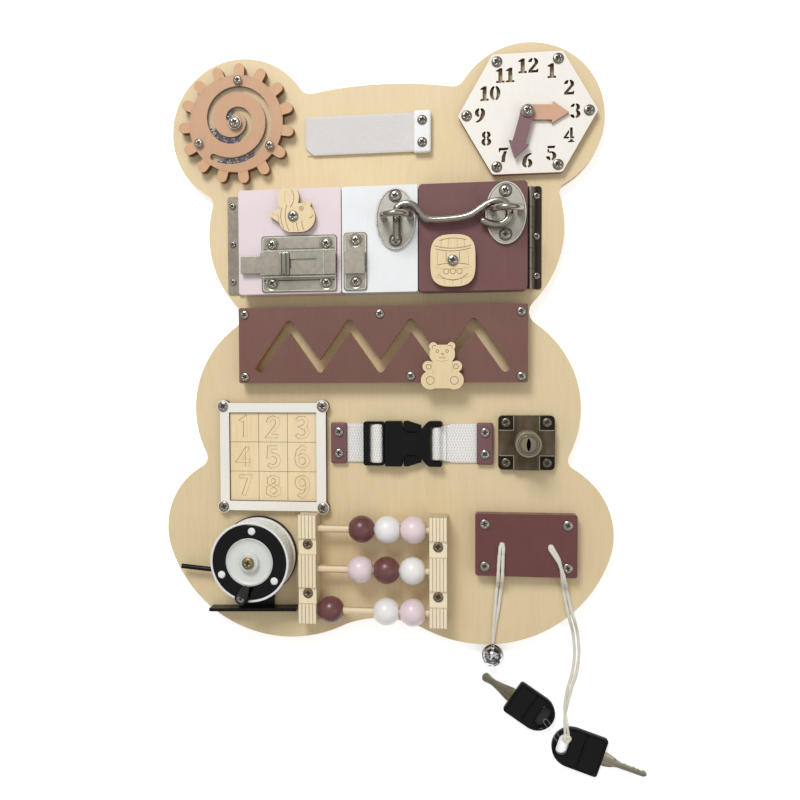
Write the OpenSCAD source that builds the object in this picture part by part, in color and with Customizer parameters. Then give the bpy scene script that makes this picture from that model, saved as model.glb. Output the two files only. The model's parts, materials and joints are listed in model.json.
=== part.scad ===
// Bear-shaped wooden busy board. Millimetres. The board lies on its flat back:
// back face at z = 0, front +Z, ears towards +Y, origin at the middle of the back's bounding box.

/* [Board] */
// Thickness of the plywood board
board_t = 10; // [8:1:12]
// Thickness of the two doors and of the block between them
block_t = 18; // [15:1:20]
// Thickness of the maze panel
maze_t = 12; // [10:1:14]

/* [Gear] */
// Number of teeth on the bead gear
gear_teeth = 15; // [12:1:18]
// Radius over the gear's tooth tips
gear_r = 45.2; // [43:0.2:46]
// Width of the spiral bead channel
channel_w = 5; // [4:0.5:5.5]

/* [Clock] */
// Distance from the dial's middle to a corner, before rounding
dial_r = 50; // [47:1:52]
// Height of a cut-through number
number_h = 10.5; // [8:0.5:12]

/* [Doors] */
// Number of knuckles on a door hinge
knuckles = 5; // [3:2:7]
// Travel of the barrel bolt, built in as the slot's length
bolt_travel = 20; // [12:1:21]

/* [Beads] */
// Diameter of a bead on the bead frame
bead_d = 20.4; // [18:0.2:20.4]

/* [Cords] */
// Diameter of a pull cord
cord_d = 3; // [2.6:0.2:3.4]

/* [Hidden] */
$fn = 48;
T = board_t;
F = T + 0.4 + block_t;   // face of the doors
e = 0.01;

// ---------- places ----------
gear_c = [-110, 171.8];
dial_c = [107.4, 169.9];
bee_c = [-62.8, 98];
barrel_c = [54.2, 62.7];
tiles_c = [-84.1, -82];
lock_c = [107.3, -69.9];
reel_c = [-96.2, -158.2];
reel_a = -101;
hinge_l = -108.6;
hinge_r = 109.8;
hinge_z = T + 2;
door_y0 = 41.3;
door_y1 = 119.1;
eye_l = [13.8, 94.5];
eye_r = [92.4, 96.4];

// Static screws: [x, y, height of the face under the head, head radius, shank length]
clamp_s = [for (y = [168.5, 152.3]) [31.2, y, T + 6.3, 3.6, 10]];
dial_s = [for (a = [0:60:300]) [dial_c[0] + 43.7 * cos(a), dial_c[1] + 43.7 * sin(a), T + 6, 3.9, 11]];
keeper_s = [for (y = [79.5, 49.2]) [-17, y, F + 1, 3.6, 10]];
eye_s = [for (y = [110.8, 78.8]) [12.4, y, F + 1.6, 3.9, 10]];
leaf_s = [for (s = [[-115.2, 1], [114.4, 1]], y = [110.8, 81.5, 52.6]) [s[0], y, T + 1.2, 2.6, 7]];
maze_s = [for (p = [[-103.6, 26.7], [-0.2, 26], [103.2, 26.2], [-103.6, -20.6], [22.8, -20.4], [103.2, -20.8]]) [p[0], p[1], T + maze_t, 3.4, 18]];
frame_s = [for (x = [-39, 39], y = [-38.8, 38.8]) [tiles_c[0] + x, tiles_c[1] + y, T + 6, 3.6, 11]];
web_s = [for (x = [-32.7, 77.2], y = [-62.6, -78.8]) [x, y, T + 4.8, 3.6, 10]];
lock_s = [for (x = [-14.8, 14.8], y = [-14.8, 14.8]) [lock_c[0] + x, lock_c[1] + y, T + 5, 3.6, 10]];
post_s = [for (x = [-54.3, 43.2], y = [-146, -183]) [x, y, T + 20, 3.8, 26]];
cord_s = [for (x = [76.9, 136.9], y = [-130, -161.4]) [x, y, T + 10, 3.8, 16]];
STATIC = concat(clamp_s, dial_s, keeper_s, eye_s, leaf_s, maze_s, frame_s, web_s, lock_s, post_s, cord_s);
bolt_s = [for (x = [-80, -39], y = [77.8, 48.9]) [x, y, F + 1, 3.6, 9]];
eye_rs = [for (y = [112, 81]) [91.6, y, F + 1.6, 3.9, 9]];

// ---------- helpers ----------
module screw(s) {
    translate([s[0], s[1], s[2]]) difference() {
        union() {
            cylinder(r1 = s[3], r2 = s[3] - 1.1, h = 1.6);
            translate([0, 0, -s[4]]) cylinder(r = 1.6, h = s[4] + e);
        }
        for (a = [0, 90]) rotate(a) translate([-1.7, -0.4, 0.7]) cube([3.4, 0.8, 2]);
    }
}
module shanks(list) { for (s = list) translate([s[0], s[1], s[2] - s[4]]) cylinder(r = 1.6, h = s[4] + 30); }
module rbox(x0, y0, x1, y1, z0, z1, r) {
    translate([0, 0, z0]) linear_extrude(z1 - z0) rrect(x0, y0, x1, y1, r);
}
module rrect(x0, y0, x1, y1, r) {
    translate([x0 + r, y0]) square([x1 - x0 - 2 * r, y1 - y0]);
    translate([x0, y0 + r]) square([x1 - x0, y1 - y0 - 2 * r]);
    for (x = [x0 + r, x1 - r], y = [y0 + r, y1 - r]) translate([x, y]) circle(r = r);
}
module box(x0, y0, z0, x1, y1, z1) { translate([x0, y0, z0]) cube([x1 - x0, y1 - y0, z1 - z0]); }

// outline of a stroke of width w along the points p
function unit(v) = v / norm(v);
function side(p, i) = let (n = len(p) - 1,
    a = i > 0 ? unit(p[i] - p[i - 1]) : unit(p[1] - p[0]),
    b = i < n ? unit(p[i + 1] - p[i]) : unit(p[n] - p[n - 1]),
    m = unit(a + b)) [-m[1], m[0]] / max(0.5, m * a);
module stroke(p, w) {
    polygon(concat([for (i = [0:len(p) - 1]) p[i] + side(p, i) * w / 2],
        [for (i = [len(p) - 1:-1:0]) p[i] - side(p, i) * w / 2]));
}
// part of an elliptical ring from angle a0 to a1, thick at its sides and thin where it ends
function cres(c, o, i, a0, a1, n = 8) = concat(
    [for (k = [0:n]) let (a = a0 + (a1 - a0) * k / n) c + [o[0] * cos(a), o[1] * sin(a)]],
    [for (k = [n:-1:0]) let (a = a0 + (a1 - a0) * k / n) c + [i[0] * 0.84 * cos(a), i[1] * 0.94 * sin(a)]]);
function turned(p) = [for (q = p) [6 - q[0], 10 - q[1]]];
// stencil digits as closed outlines in a cell 6 wide and 10 high
SIX = [cres([3, 3.1], [2.8, 3.2], [0.9, 2.3], -76, 76), cres([3, 3.1], [2.8, 3.2], [0.9, 2.3], 104, 256),
    cres([5.4, 3.4], [5.2, 6.6], [3.4, 5.9], 92, 176)];
DIG = [
    [cres([3, 5], [2.9, 5.1], [1.1, 4.3], 102, 258), cres([3, 5], [2.9, 5.1], [1.1, 4.3], -78, 78)],
    [[[0.7, 7.7], [1.2, 8.8], [3, 10], [4.3, 10], [4.3, 1.5], [5.5, 1.2], [5.5, 0], [0.9, 0], [0.9, 1.2], [2.1, 1.5], [2.1, 7.7]]],
    [cres([3, 7.2], [2.7, 2.9], [0.9, 2.1], -38, 80), cres([3, 7.2], [2.7, 2.9], [0.9, 2.1], 104, 180),
        [[5.2, 5.6], [3.6, 6.1], [0.4, 1.6], [0.4, 0], [5.6, 0], [5.8, 2.4], [5.1, 2.4], [4.7, 1.7], [2.5, 1.7]]],
    [cres([2.9, 7.5], [2.5, 2.6], [0.8, 1.8], -76, 80), cres([2.9, 7.5], [2.5, 2.6], [0.8, 1.8], 104, 176),
        cres([2.9, 2.8], [2.8, 2.9], [0.9, 2], -80, 76), cres([2.9, 2.8], [2.8, 2.9], [0.9, 2], 184, 256)],
    [[[3.1, 8.8], [0.2, 3.6], [0.2, 2.6], [3.1, 2.6], [3.1, 3.8], [1.7, 3.8], [3.1, 6.4]],
        [[3.6, 10], [5, 10], [5, 3.8], [5.8, 3.8], [5.8, 2.6], [3.6, 2.6]],
        [[2.4, 0], [5.9, 0], [5.9, 0.7], [5, 1.1], [5, 2], [3.6, 2], [3.6, 1.1], [2.4, 0.7]]],
    [[[1, 8.3], [4.9, 8.3], [5.2, 10], [1, 10]], [[1, 7.7], [1.9, 7.7], [1.9, 6], [1, 5.2]],
        cres([3, 3.1], [2.8, 3.2], [0.9, 2.3], -80, 124), cres([3, 3.1], [2.8, 3.2], [0.9, 2.3], 184, 256)],
    SIX,
    [[[0.4, 10], [5.7, 10], [5.7, 9.1], [4.9, 8.2], [1.4, 8.2], [1, 7], [0.4, 7]],
        [[4.8, 7.6], [3.2, 7.6], [2, 3.6], [1.8, 0], [3.9, 0], [4, 3.4]]],
    [cres([3, 7.5], [2.4, 2.6], [0.8, 1.7], 104, 256), cres([3, 7.5], [2.4, 2.6], [0.8, 1.7], -76, 76),
        cres([3, 2.7], [2.7, 2.8], [0.9, 1.9], 104, 256), cres([3, 2.7], [2.7, 2.8], [0.9, 1.9], -76, 76)],
    [for (q = SIX) turned(q)]];
module digit(d, h, z0, z1) {
    translate([0, 0, z0]) linear_extrude(z1 - z0) scale([h / 7.9, h / 10]) translate([-3, -5]) for (p = DIG[d]) polygon(p);
}
// plain digits 1 to 9 as lines in the same cell
LOOP6A = [[4.9, 9], [3, 10], [1.2, 8], [0.6, 4], [1.2, 1.2], [3.1, 0]];
LOOP6B = [[2.9, 0], [4.9, 1.1], [5.4, 3.2], [4.6, 5.2], [3, 6], [1.2, 4.8]];
LINE_DIG = [
    [[[1.2, 8], [3.4, 10], [3.4, 0]]],
    [[[0.8, 7.4], [1.4, 9.2], [3, 10], [4.8, 9.2], [5.2, 7.2], [4.2, 5.2], [0.9, 0.4], [5.4, 0.4]]],
    [[[0.8, 8.6], [2, 9.8], [4, 9.8], [5, 8.2], [4.6, 6.2], [3, 5.3], [4.8, 4.4], [5.4, 2.4], [4.4, 0.5], [2, 0], [0.6, 1.4]]],
    [[[4.2, 0], [4.2, 9.9]], [[4.4, 9.8], [0.4, 2.8], [5.8, 2.8]]],
    [[[5, 9.8], [1.4, 9.8], [1.1, 5.4], [3, 6.2], [5, 5], [5.4, 2.8], [4.4, 0.6], [2.4, 0], [0.7, 1.1]]],
    [LOOP6A, LOOP6B],
    [[[0.6, 9.8], [5.4, 9.8], [2.4, 0]]],
    [[[3.2, 5.3], [1.2, 6.6], [1.2, 8.8], [3.1, 10]], [[2.9, 10], [4.8, 8.8], [4.8, 6.6], [2.8, 5.3]],
        [[2.8, 5.5], [5.2, 4], [5.3, 1.4], [2.9, 0]], [[3.1, 0], [0.7, 1.4], [0.8, 4], [3.2, 5.5]]],
    [turned(LOOP6A), turned(LOOP6B)]];
module line_digit(d, h, w) {
    scale(h / 10) translate([-3, -5]) for (p = LINE_DIG[d - 1]) stroke(p, w * 10 / h);
}
// engraved lines, 0.4 deep and g wide, under a face at height z
module engrave(z, lines, rings = [], g = 0.45) translate([0, 0, z - 0.4]) linear_extrude(2) {
    for (p = lines) stroke(p, g);
    for (q = rings) translate([q[0], q[1]]) difference() { circle(r = q[2] + g / 2); circle(r = q[2] - g / 2); }
}
function bow(a, b, h, n = 6) = [for (k = [0:n]) let (t = k / n, d = b - a) a + d * t + h * 4 * t * (1 - t) * unit([-d[1], d[0]])];
function oval(c, a, b, r, n = 14) = [for (k = [0:n]) let (t = 360 * k / n, x = a * cos(t), y = b * sin(t)) c + [x * cos(r) - y * sin(r), x * sin(r) + y * cos(r)]];

// ---------- board outline: arcs that run into each other ----------
function arc(c, r, a0, a1, n) = [for (i = [0:n - 1]) c + r * [cos(a0 + (a1 - a0) * i / n), sin(a0 + (a1 - a0) * i / n)]];
function ang(v) = atan2(v[1], v[0]);
// middle of a fillet of radius f outside two circles; s picks the side
function fil(a, ra, b, rb, f, s) = let (d = norm(b - a), p = ra + f, q = rb + f,
    x = (d * d + p * p - q * q) / (2 * d), y = sqrt(p * p - x * x), u = (b - a) / d) a + u * x + s * y * [-u[1], u[0]];
n_c = [0, -280.5];   foot_b = [75, -125];   rb = 97.8;   rs = 55;
foot_s = foot_b + (rb - rs) * [cos(-18.4), sin(-18.4)];
belly = [70, -45];   rbel = 76.8;   flank = [55.5, 88.5];   rfl = 79;
ear = [107.5, 167.6];   re = 55.2;   crown = [0, -121.8];   rc = 320;
f2 = fil(foot_s, rs, belly, rbel, 8, -1);
f1 = fil(belly, rbel, flank, rfl, 10, -1);
f3 = fil(flank, rfl, ear, re, 7, -1);
f4 = fil(ear, re, crown, rc, 9, -1);
half = concat(
    arc(n_c, 75, 90, ang(foot_b - n_c), 8),
    arc(foot_b, rb, ang(n_c - foot_b), -18.4, 24),
    arc(foot_s, rs, -18.4, ang(f2 - foot_s), 16),
    arc(f2, 8, ang(foot_s - f2) + 360, ang(belly - f2) + (ang(belly - f2) < 0 ? 360 : 0), 6),
    arc(belly, rbel, ang(f2 - belly), ang(f1 - belly), 18),
    arc(f1, 10, ang(belly - f1) + 360, ang(flank - f1), 8),
    arc(flank, rfl, ang(f1 - flank), ang(f3 - flank), 14),
    arc(f3, 7, ang(flank - f3) + 360, ang(ear - f3) , 5),
    arc(ear, re, ang(f3 - ear), ang(f4 - ear), 40),
    arc(f4, 9, ang(ear - f4) + 360, ang(crown - f4) + 360, 5),
    arc(crown, rc, ang(f4 - crown), 90, 10), [[0, crown[1] + rc]]);
outline = concat(half, [for (i = [len(half) - 2:-1:1]) [-half[i][0], half[i][1]]]);

module base_board() color("burlywood") difference() {
    linear_extrude(T) polygon(outline);
    shanks(STATIC);
    translate([gear_c[0], gear_c[1], 3]) cylinder(r = 2.5, h = T);
    translate([dial_c[0], dial_c[1], 3]) cylinder(r = 2, h = T);
    translate([reel_c[0], reel_c[1], 3]) cylinder(r = 2.5, h = T);
}
module pivot(c, r, z0, z1, rw, rh) {
    // spacer on the board, shank, washer and head
    translate([c[0], c[1], 3]) cylinder(r = r, h = z1 - 3 + e);
    translate([c[0], c[1], z1]) cylinder(r = rw, h = 0.8);
    translate([c[0], c[1], z1 + 0.8 - e]) difference() {
        cylinder(r1 = rh, r2 = rh - 1.2, h = 2);
        for (a = [20, 110]) rotate(a) translate([-1.9, -0.45, 0.9]) cube([3.8, 0.9, 2]);
    }
}
module board_screws() color("silver") {
    for (s = STATIC) screw(s);
    difference() {
        union() { pivot(gear_c, 2.5, T, T + 10.6, 5, 4.2); translate([gear_c[0], gear_c[1], T]) cylinder(r = 6, h = 0.9); }
    }
    pivot(dial_c, 2, T + 6, T + 12.6, 4.6, 3.8);
    union() { pivot(reel_c, 2.5, T, T + 36, 4.6, 4.2); }
}

// ---------- bead gear ----------
module gear_2d() {
    circle(r = 36.5);
    for (i = [0:gear_teeth - 1]) rotate(86 + i * 360 / gear_teeth) {
        translate([30, -4]) square([gear_r - 34, 8]);
        translate([gear_r - 4, 0]) circle(r = 4);
    }
}
sp_n = 66;
function sp(t, o) = let (r = 4.6 + 15.5 * t + o, a = 152 - 360 * t) [-1.2 + r * cos(a), 2.8 + r * sin(a)];
function sp_t(i) = 1.76 * i / sp_n;
module channel_2d() {
    polygon(concat([for (i = [0:sp_n]) sp(sp_t(i), channel_w / 2)], [for (i = [sp_n:-1:0]) sp(sp_t(i), -channel_w / 2)]));
    translate(sp(0, 0)) circle(d = channel_w - 0.02);
    translate(sp(1.76, 0)) circle(d = channel_w - 0.02);
}
gear_sc = [for (a = [86, 206, 326]) 32 * [cos(a), sin(a)]];
module gear_plate() color("tan") translate([gear_c[0], gear_c[1], T + 4.2]) difference() {
    linear_extrude(4) difference() { gear_2d(); channel_2d(); }
    translate([0, 0, -1]) cylinder(r = 2.55, h = 6);
    for (p = gear_sc) translate([p[0], p[1], -1]) cylinder(r = 1.3, h = 6);
}
module gear_back() color("wheat") translate([gear_c[0], gear_c[1], T + 1.2]) difference() {
    linear_extrude(3) gear_2d();
    translate([0, 0, -1]) cylinder(r = 2.55, h = 5);
    for (p = gear_sc) translate([p[0], p[1], 1]) cylinder(r = 1.3, h = 5);
}
module gear_cover() color([0.85, 0.9, 0.95, 0.4]) translate([gear_c[0], gear_c[1], T + 8.2]) difference() {
    cylinder(r = 36.3, h = 2);
    translate([0, 0, -1]) cylinder(r = 2.55, h = 5);
    for (p = gear_sc) translate([p[0], p[1], -1]) cylinder(r = 1.3, h = 5);
}
seeds = concat([for (k = [0:1]) sp(0.02 + k * 0.07, 0.6)],
    [for (k = [0:8]) sp(0.59 + k * 0.036, k % 2 == 0 ? 0.9 : -0.8)],
    [for (k = [0:11]) sp(1.55 + k * 0.0155, k % 2 == 0 ? 1 : -0.9)]);
module gear_seeds() color("royalblue") for (p = seeds)
    translate([gear_c[0] + p[0], gear_c[1] + p[1], T + 4.2 + 1.4]) sphere(r = 1.25);
module gear_screws() color("silver") for (p = gear_sc) translate([gear_c[0] + p[0], gear_c[1] + p[1], 0]) {
    translate([0, 0, T + 2.2]) cylinder(r = 1.3, h = 8 + e);
    translate([0, 0, T + 10.2]) difference() {
        cylinder(r1 = 3.3, r2 = 2.2, h = 1.6);
        for (a = [10, 100]) rotate(a) translate([-1.5, -0.35, 0.7]) cube([3, 0.7, 2]);
    }
}

// ---------- strap on the head ----------
module strap_base() color("ivory") {
    difference() {
        union() { box(-56, 146.8, T, 37.2, 174.8, T + 1.5); box(24.9, 146.8, T + 1.4, 37.2, 174.8, T + 3.3); }
        shanks(clamp_s);
    }
}
module strap_clamp() color("white") difference() {
    rbox(24.8, 145, 37.6, 176, T + 3.3, T + 6.3, 2.5);
    shanks(clamp_s);
}
module strap_flap() color("lavender") translate([0, 0, T + 1.9]) linear_extrude(1.4)
    polygon([[23.3, 146.6], [23.3, 175.2], [-55, 175.2], [-57, 173], [-57, 152], [-52, 146.6]]);

// ---------- clock ----------
module dial_2d() {
    // rounded hexagon: strips between the corner circles
    for (a = [0:60:120]) rotate(a) translate([-(dial_r - 3) / 2, -dial_r * cos(30)]) square([dial_r - 3, 2 * dial_r * cos(30)]);
    for (a = [0:60:300]) rotate(a) translate([dial_r - 3 / cos(30), 0]) circle(r = 3);
}
module clock_dial() color("white") translate([dial_c[0], dial_c[1], T]) difference() {
    linear_extrude(6) union() { dial_2d(); circle(r = 42); }
    for (a = [0:60:300]) translate([43.7 * cos(a), 43.7 * sin(a), -1]) cylinder(r = 1.6, h = 9);
    translate([0, 0, -1]) cylinder(r = 2, h = 9);
    for (i = [1:9]) translate([34 * sin(i * 30), 34 * cos(i * 30), 0]) digit(i, number_h, -1, 7);
    for (i = [10:12]) translate([34 * sin(i * 30) + (12 - i) * 1.1, 34 * cos(i * 30) - (i == 12 ? 0 : 1.5), 0]) {
        translate([-3.7, 0, 0]) digit(1, number_h, -1, 7);
        translate([i == 11 ? 3.4 : 4.1, 0, 0]) digit(i - 10, number_h, -1, 7);
    }
}
module hand_2d(w, l, hl, hw) {
    circle(d = w);
    translate([0, -w / 2]) square([l - hl + e, w]);
    polygon([[l - hl, -hw / 2], [l, 0], [l - hl, hw / 2]]);
}
module hour_hand() color("tan") translate([dial_c[0], dial_c[1], T + 6.4]) rotate(-3) difference() {
    linear_extrude(2.5) hand_2d(11, 29.5, 12, 16);
    translate([0, 0, -1]) cylinder(r = 2.05, h = 6);
}
module minute_hand() color("rosybrown") translate([dial_c[0], dial_c[1], T + 9.4]) rotate(-105.5) difference() {
    linear_extrude(2.6) hand_2d(9.6, 34.4, 11.5, 15);
    translate([0, 0, -1]) cylinder(r = 2.05, h = 6);
}

// ---------- doors ----------
module door_2d(x0, x1, r) { rrect(x0, door_y0, x1, door_y1, r); }
module left_door() color("mistyrose") difference() {
    translate([0, 0, T + 0.4]) linear_extrude(block_t) door_2d(-106, -28, 2);
    box(-107, door_y0 - 1, T, -94, door_y1 + 1, T + 1.6);
    shanks(bolt_s);
    translate([bee_c[0], bee_c[1], F - 9]) cylinder(r = 2, h = 20);
}
module right_door() color("rosybrown") difference() {
    translate([0, 0, T + 0.4]) linear_extrude(block_t) door_2d(29.2, 107.2, 3);
    box(95.2, door_y0 - 1, T, 108.5, door_y1 + 1, T + 1.6);
    shanks(eye_rs);
    translate([barrel_c[0], barrel_c[1], F - 9]) cylinder(r = 2, h = 20);
}
module door_block() color("white") difference() {
    rbox(-27.4, door_y0, 28.6, door_y1, T, F, 1.5);
    shanks(keeper_s);
    shanks(eye_s);
}
kn = 75 / knuckles;
module knuckle(x, i, r) {
    translate([x, 43 + i * kn + 0.15, hinge_z]) rotate([-90, 0, 0]) cylinder(r = r, h = kn - 0.3);
}
module fixed_leaf(x, s) {
    difference() {
        union() {
            if (s < 0) rbox(x - 10.6, 43, x - 2.3, 118, T, T + 1.2, 2);
            else rbox(x + 2.3, 43, x + 8.2, 118, T, T + 1.2, 2);
            for (i = [0:2:knuckles - 1]) {
                knuckle(x, i, 1.9);
                if (s < 0) box(x - 6, 43 + i * kn + 0.15, T + 0.1, x, 43 + (i + 1) * kn - 0.15, T + 1.2);
                else box(x, 43 + i * kn + 0.15, T + 0.1, x + 5, 43 + (i + 1) * kn - 0.15, T + 1.2);
            }
            translate([x, 43.5, hinge_z]) rotate([-90, 0, 0]) cylinder(r = 1, h = 74);
        }
        shanks(leaf_s);
    }
}
module hinge_leaves_fixed() color("silver") { fixed_leaf(hinge_l, -1); fixed_leaf(hinge_r, 1); }
module moving_leaf(x, s) {
    difference() {
        union() {
            if (s > 0) box(x + 2.6, 43, T + 0.4, x + 14.6, 118, T + 1.6);
            else box(x - 14.6, 43, T + 0.4, x - 2.6, 118, T + 1.6);
            for (i = [1:2:knuckles - 1]) {
                knuckle(x, i, 1.9);
                if (s > 0) box(x, 43 + i * kn + 0.15, T + 0.4, x + 5, 43 + (i + 1) * kn - 0.15, T + 1.6);
                else box(x - 5, 43 + i * kn + 0.15, T + 0.4, x, 43 + (i + 1) * kn - 0.15, T + 1.6);
            }
        }
        translate([x, 40, hinge_z]) rotate([-90, 0, 0]) cylinder(r = 1.06, h = 80);
    }
}
module left_hinge_leaf() color("silver") moving_leaf(hinge_l, 1);
module right_hinge_leaf() color("silver") moving_leaf(hinge_r, -1);

// barrel bolt: bar in a folded guide on a plate
by0 = 56.5;   by1 = 69.5;
module bolt_guide() color("silver") difference() {
    union() {
        rbox(-88, 42.6, -31, 84.4, F, F + 1, 2);
        box(-87.8, by0 - 1.6, F + 1 - e, -31.2, by1 + 1.6, F + 6.4);
    }
    box(-100, by0 - 0.3, F + 1.2, -20, by1 + 0.3, F + 5.2);
    box(-73, 59.5, F + 4, -73 + 7.6 + bolt_travel, 66.5, F + 9);
    shanks(bolt_s);
}
module bolt_bar() color("gainsboro") {
    box(-103.2, by0, F + 1.6, -33.4, by1, F + 4.8);
    box(-71.6, 60, F + 4.7, -66.2, 66, F + 7.5);
    rbox(-72.4, 54.4, -65.4, 71.6, F + 7.4, F + 10.6, 2);
}
module bolt_keeper() color("silver") difference() {
    union() {
        rbox(-25.8, 43, -8.7, 85.2, F, F + 1, 2);
        box(-24.8, by0 - 1.6, F + 1 - e, -9.7, by1 + 1.6, F + 6.4);
    }
    box(-30, by0 - 0.3, F + 1, 0, by1 + 0.3, F + 5.4);
    shanks(keeper_s);
}
module left_door_screws() color("silver") {
    for (s = bolt_s) screw(s);
    tack(bee_c);
}
module right_door_screws() color("silver") {
    for (s = eye_rs) screw(s);
    tack(barrel_c);
}
// shouldered screw that a turning piece sits on
module tack(c) {
    translate([c[0], c[1], F - 9]) cylinder(r = 2, h = 14.6 + e);
    translate([c[0], c[1], F]) cylinder(r = 4.5, h = 1.3);
    translate([c[0], c[1], F + 5.6]) difference() {
        cylinder(r1 = 3.9, r2 = 2.8, h = 1.8);
        for (a = [30, 120]) rotate(a) translate([-1.8, -0.4, 0.8]) cube([3.6, 0.8, 2]);
    }
}
module bee_piece() color("wheat") translate([bee_c[0], bee_c[1], F + 1.6]) difference() {
    linear_extrude(3.7) {
        translate([-0.6, -1.2]) circle(r = 10.6);
        translate([5.8, -1.2]) circle(r = 10.6);
        translate([-0.6, -11.8]) square([6.4, 21.2]);
        polygon(oval([-6, 12.4], 5.6, 8.4, 6, 36));
        polygon(oval([-0.8, 12.8], 5.2, 8, -6, 36));
        polygon([[-7, 6.6], [-17.6, 3.4], [-18.2, 1], [-9, -5.4]]);
        translate([8.4, 9.2]) circle(r = 1.7);
        translate([11.6, 8.6]) circle(r = 1.9);
    }
    translate([0, 0, -1]) cylinder(r = 2.06, h = 6);
    engrave(3.7, [bow([-8.4, 6.4], [-7, -8.8], -1.6), bow([-4.8, 8.4], [-3, -10.8], -2), bow([2.6, -4.6], [4.2, -11], -0.6),
        bow([6.6, -3.6], [8.2, -10.6], -0.6), bow([-2.2, 6.4], [-1.2, 19.4], -2.4), bow([12, -1.6], [14.8, 0.8], -0.8)],
        [[6.2, 5.4, 1.5], [6.2, 5.4, 0.5]]);
}
function sgn_pow(v, k) = (v < 0 ? -1 : 1) * pow(abs(v), k);
module honey_barrel() color("wheat") translate([barrel_c[0], barrel_c[1], F + 1.6]) difference() {
    linear_extrude(3.7) polygon([for (i = [0:71]) [16.1 * sgn_pow(cos(5 * i), 0.72), 18.7 * sgn_pow(sin(5 * i), 0.56)]]);
    translate([0, 0, -1]) cylinder(r = 2.06, h = 6);
    // hoops, and three honeycomb cells
    engrave(3.7, [bow([-13, 10.6], [13, 10.6], -1.9), bow([-12.6, 8.6], [12.6, 8.6], -1.9), bow([-9.6, 14.4], [9.6, 14.4], 1.6),
        bow([-11.6, -3.2], [11.6, -3.2], 1.3), bow([-10.8, -9.6], [10.8, -9.6], -4.6),
        [[-4.8, 6], [-4.8, -0.8]], [[4.8, 6], [4.8, -0.8]]], [for (x = [-4.8, 0, 4.8]) [x, -7.8, 1.9]]);
}

// cabin hook
module oval_2d(a, b) { polygon([for (i = [0:59]) [a * cos(i * 6), b * sin(i * 6)]]); }
module eye_plate(c, cx, list) {
    difference() {
        union() {
            translate([cx, c[1] - 0.3, F]) linear_extrude(1.6) oval_2d(14.6, 22.4);
            translate([cx, c[1] - 0.3, F]) linear_extrude(2.3) difference() { oval_2d(14.6, 22.4); oval_2d(13.5, 21.3); }
            for (x = [-9.6, 9.6]) translate([c[0] + x, c[1], F + 1]) cylinder(r = 2.4, h = 15);
            translate([c[0], c[1], F + 16]) rotate([90, 0, 0]) intersection() {
                rotate_extrude() translate([9.6, 0]) circle(r = 2.4);
                translate([-15, 0, -15]) cube([30, 15, 30]);
            }
        }
        shanks(list);
    }
}
module hook_eye_left() color("silver") eye_plate(eye_l, 12.6, eye_s);
module hook_eye_right() color("silver") eye_plate(eye_r, 91.8, eye_rs);
hk_z = F + 6.4;
HOOK = [[13.8, 79.6], [13.8, 99], [15, 102], [18, 103.8], [22, 104.2], [26, 102.6], [29.6, 98.6], [33, 94.6],
    [38, 92.2], [49, 92], [60, 93], [67, 94.8], [73, 98.4], [78, 101.6], [83, 103.8], [88, 104], [92, 101.8],
    [94, 98.6], [94, 94], [93, 91], [90, 88.4], [86, 87.2], [80.6, 88], [75.6, 90.2]];
module hook_rod() color("gainsboro") tube(HOOK, hk_z, 2.7, 16);

// round tube of radius r along flat points p at height z, or along 3-D points
function tan3(p, i) = unit(p[min(i + 1, len(p) - 1)] - p[max(i - 1, 0)]);
module tube(p2, z, r, n) { tube3([for (q = p2) [q[0], q[1], z]], r, n); }
module tube3(p, r, n) {
    m = len(p);
    pts = [for (i = [0:m - 1]) let (t = tan3(p, i), s = unit(cross(t, abs(t[2]) > 0.9 ? [1, 0, 0] : [0, 0, 1])), u = cross(s, t))
        for (k = [0:n - 1]) p[i] + r * (cos(360 * k / n) * s + sin(360 * k / n) * u)];
    polyhedron(points = pts, faces = concat([[for (k = [0:n - 1]) k]],
        [for (i = [0:m - 2], k = [0:n - 1]) let (a = i * n + k, b = i * n + (k + 1) % n) [a, a + n, b + n]],
        [for (i = [0:m - 2], k = [0:n - 1]) let (a = i * n + k, b = i * n + (k + 1) % n) [a, b + n, b]],
        [[for (k = [n - 1:-1:0]) (m - 1) * n + k]]), convexity = 4);
}

// ---------- maze ----------
ZIG = [for (i = [0:8]) [-92 + 23 * i, i % 2 == 0 ? -14 : 18.6]];
module zig_2d(w) { for (i = [0:7]) stroke([ZIG[i], ZIG[i + 1]], w); for (p = ZIG) translate(p) circle(d = w - 0.02); }
module maze_panel() color("rosybrown") difference() {
    rbox(-108.2, -25.3, 108, 31.8, T, T + maze_t, 1.5);
    translate([0, 0, T - 1]) linear_extrude(maze_t + 2) zig_2d(7);
    translate([0, 0, T - 1]) linear_extrude(5.4) zig_2d(11.4);
    shanks(maze_s);
}
module maze_bear() color("wheat") translate([46, -14, 0]) difference() {
    bear_solid();
    engrave(T + maze_t + 5.1, concat([[[-1, 10], [1.4, 10], [0.2, 8.8]], [[0.2, 8.3], [0.2, 7.5]],
        bow([-1.8, 7.6], [-0.2, 6.9], -0.5, 4), bow([0.6, 6.9], [2.2, 7.6], -0.5, 4)],
        [for (s = [-1, 1]) bow([0.2 + s * 4.4, 15.6], [0.2 + s * 7.2, 13.4], s * 1.5, 5)]),
        concat([[-3.4, 11.8, 1], [3.8, 11.8, 1]], [for (s = [-1, 1]) [0.2 + s * 10, 0.4, 1.7]], [for (s = [-1, 1]) [0.2 + s * 8.8, -9.6, 2.9]]));
}
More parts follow.
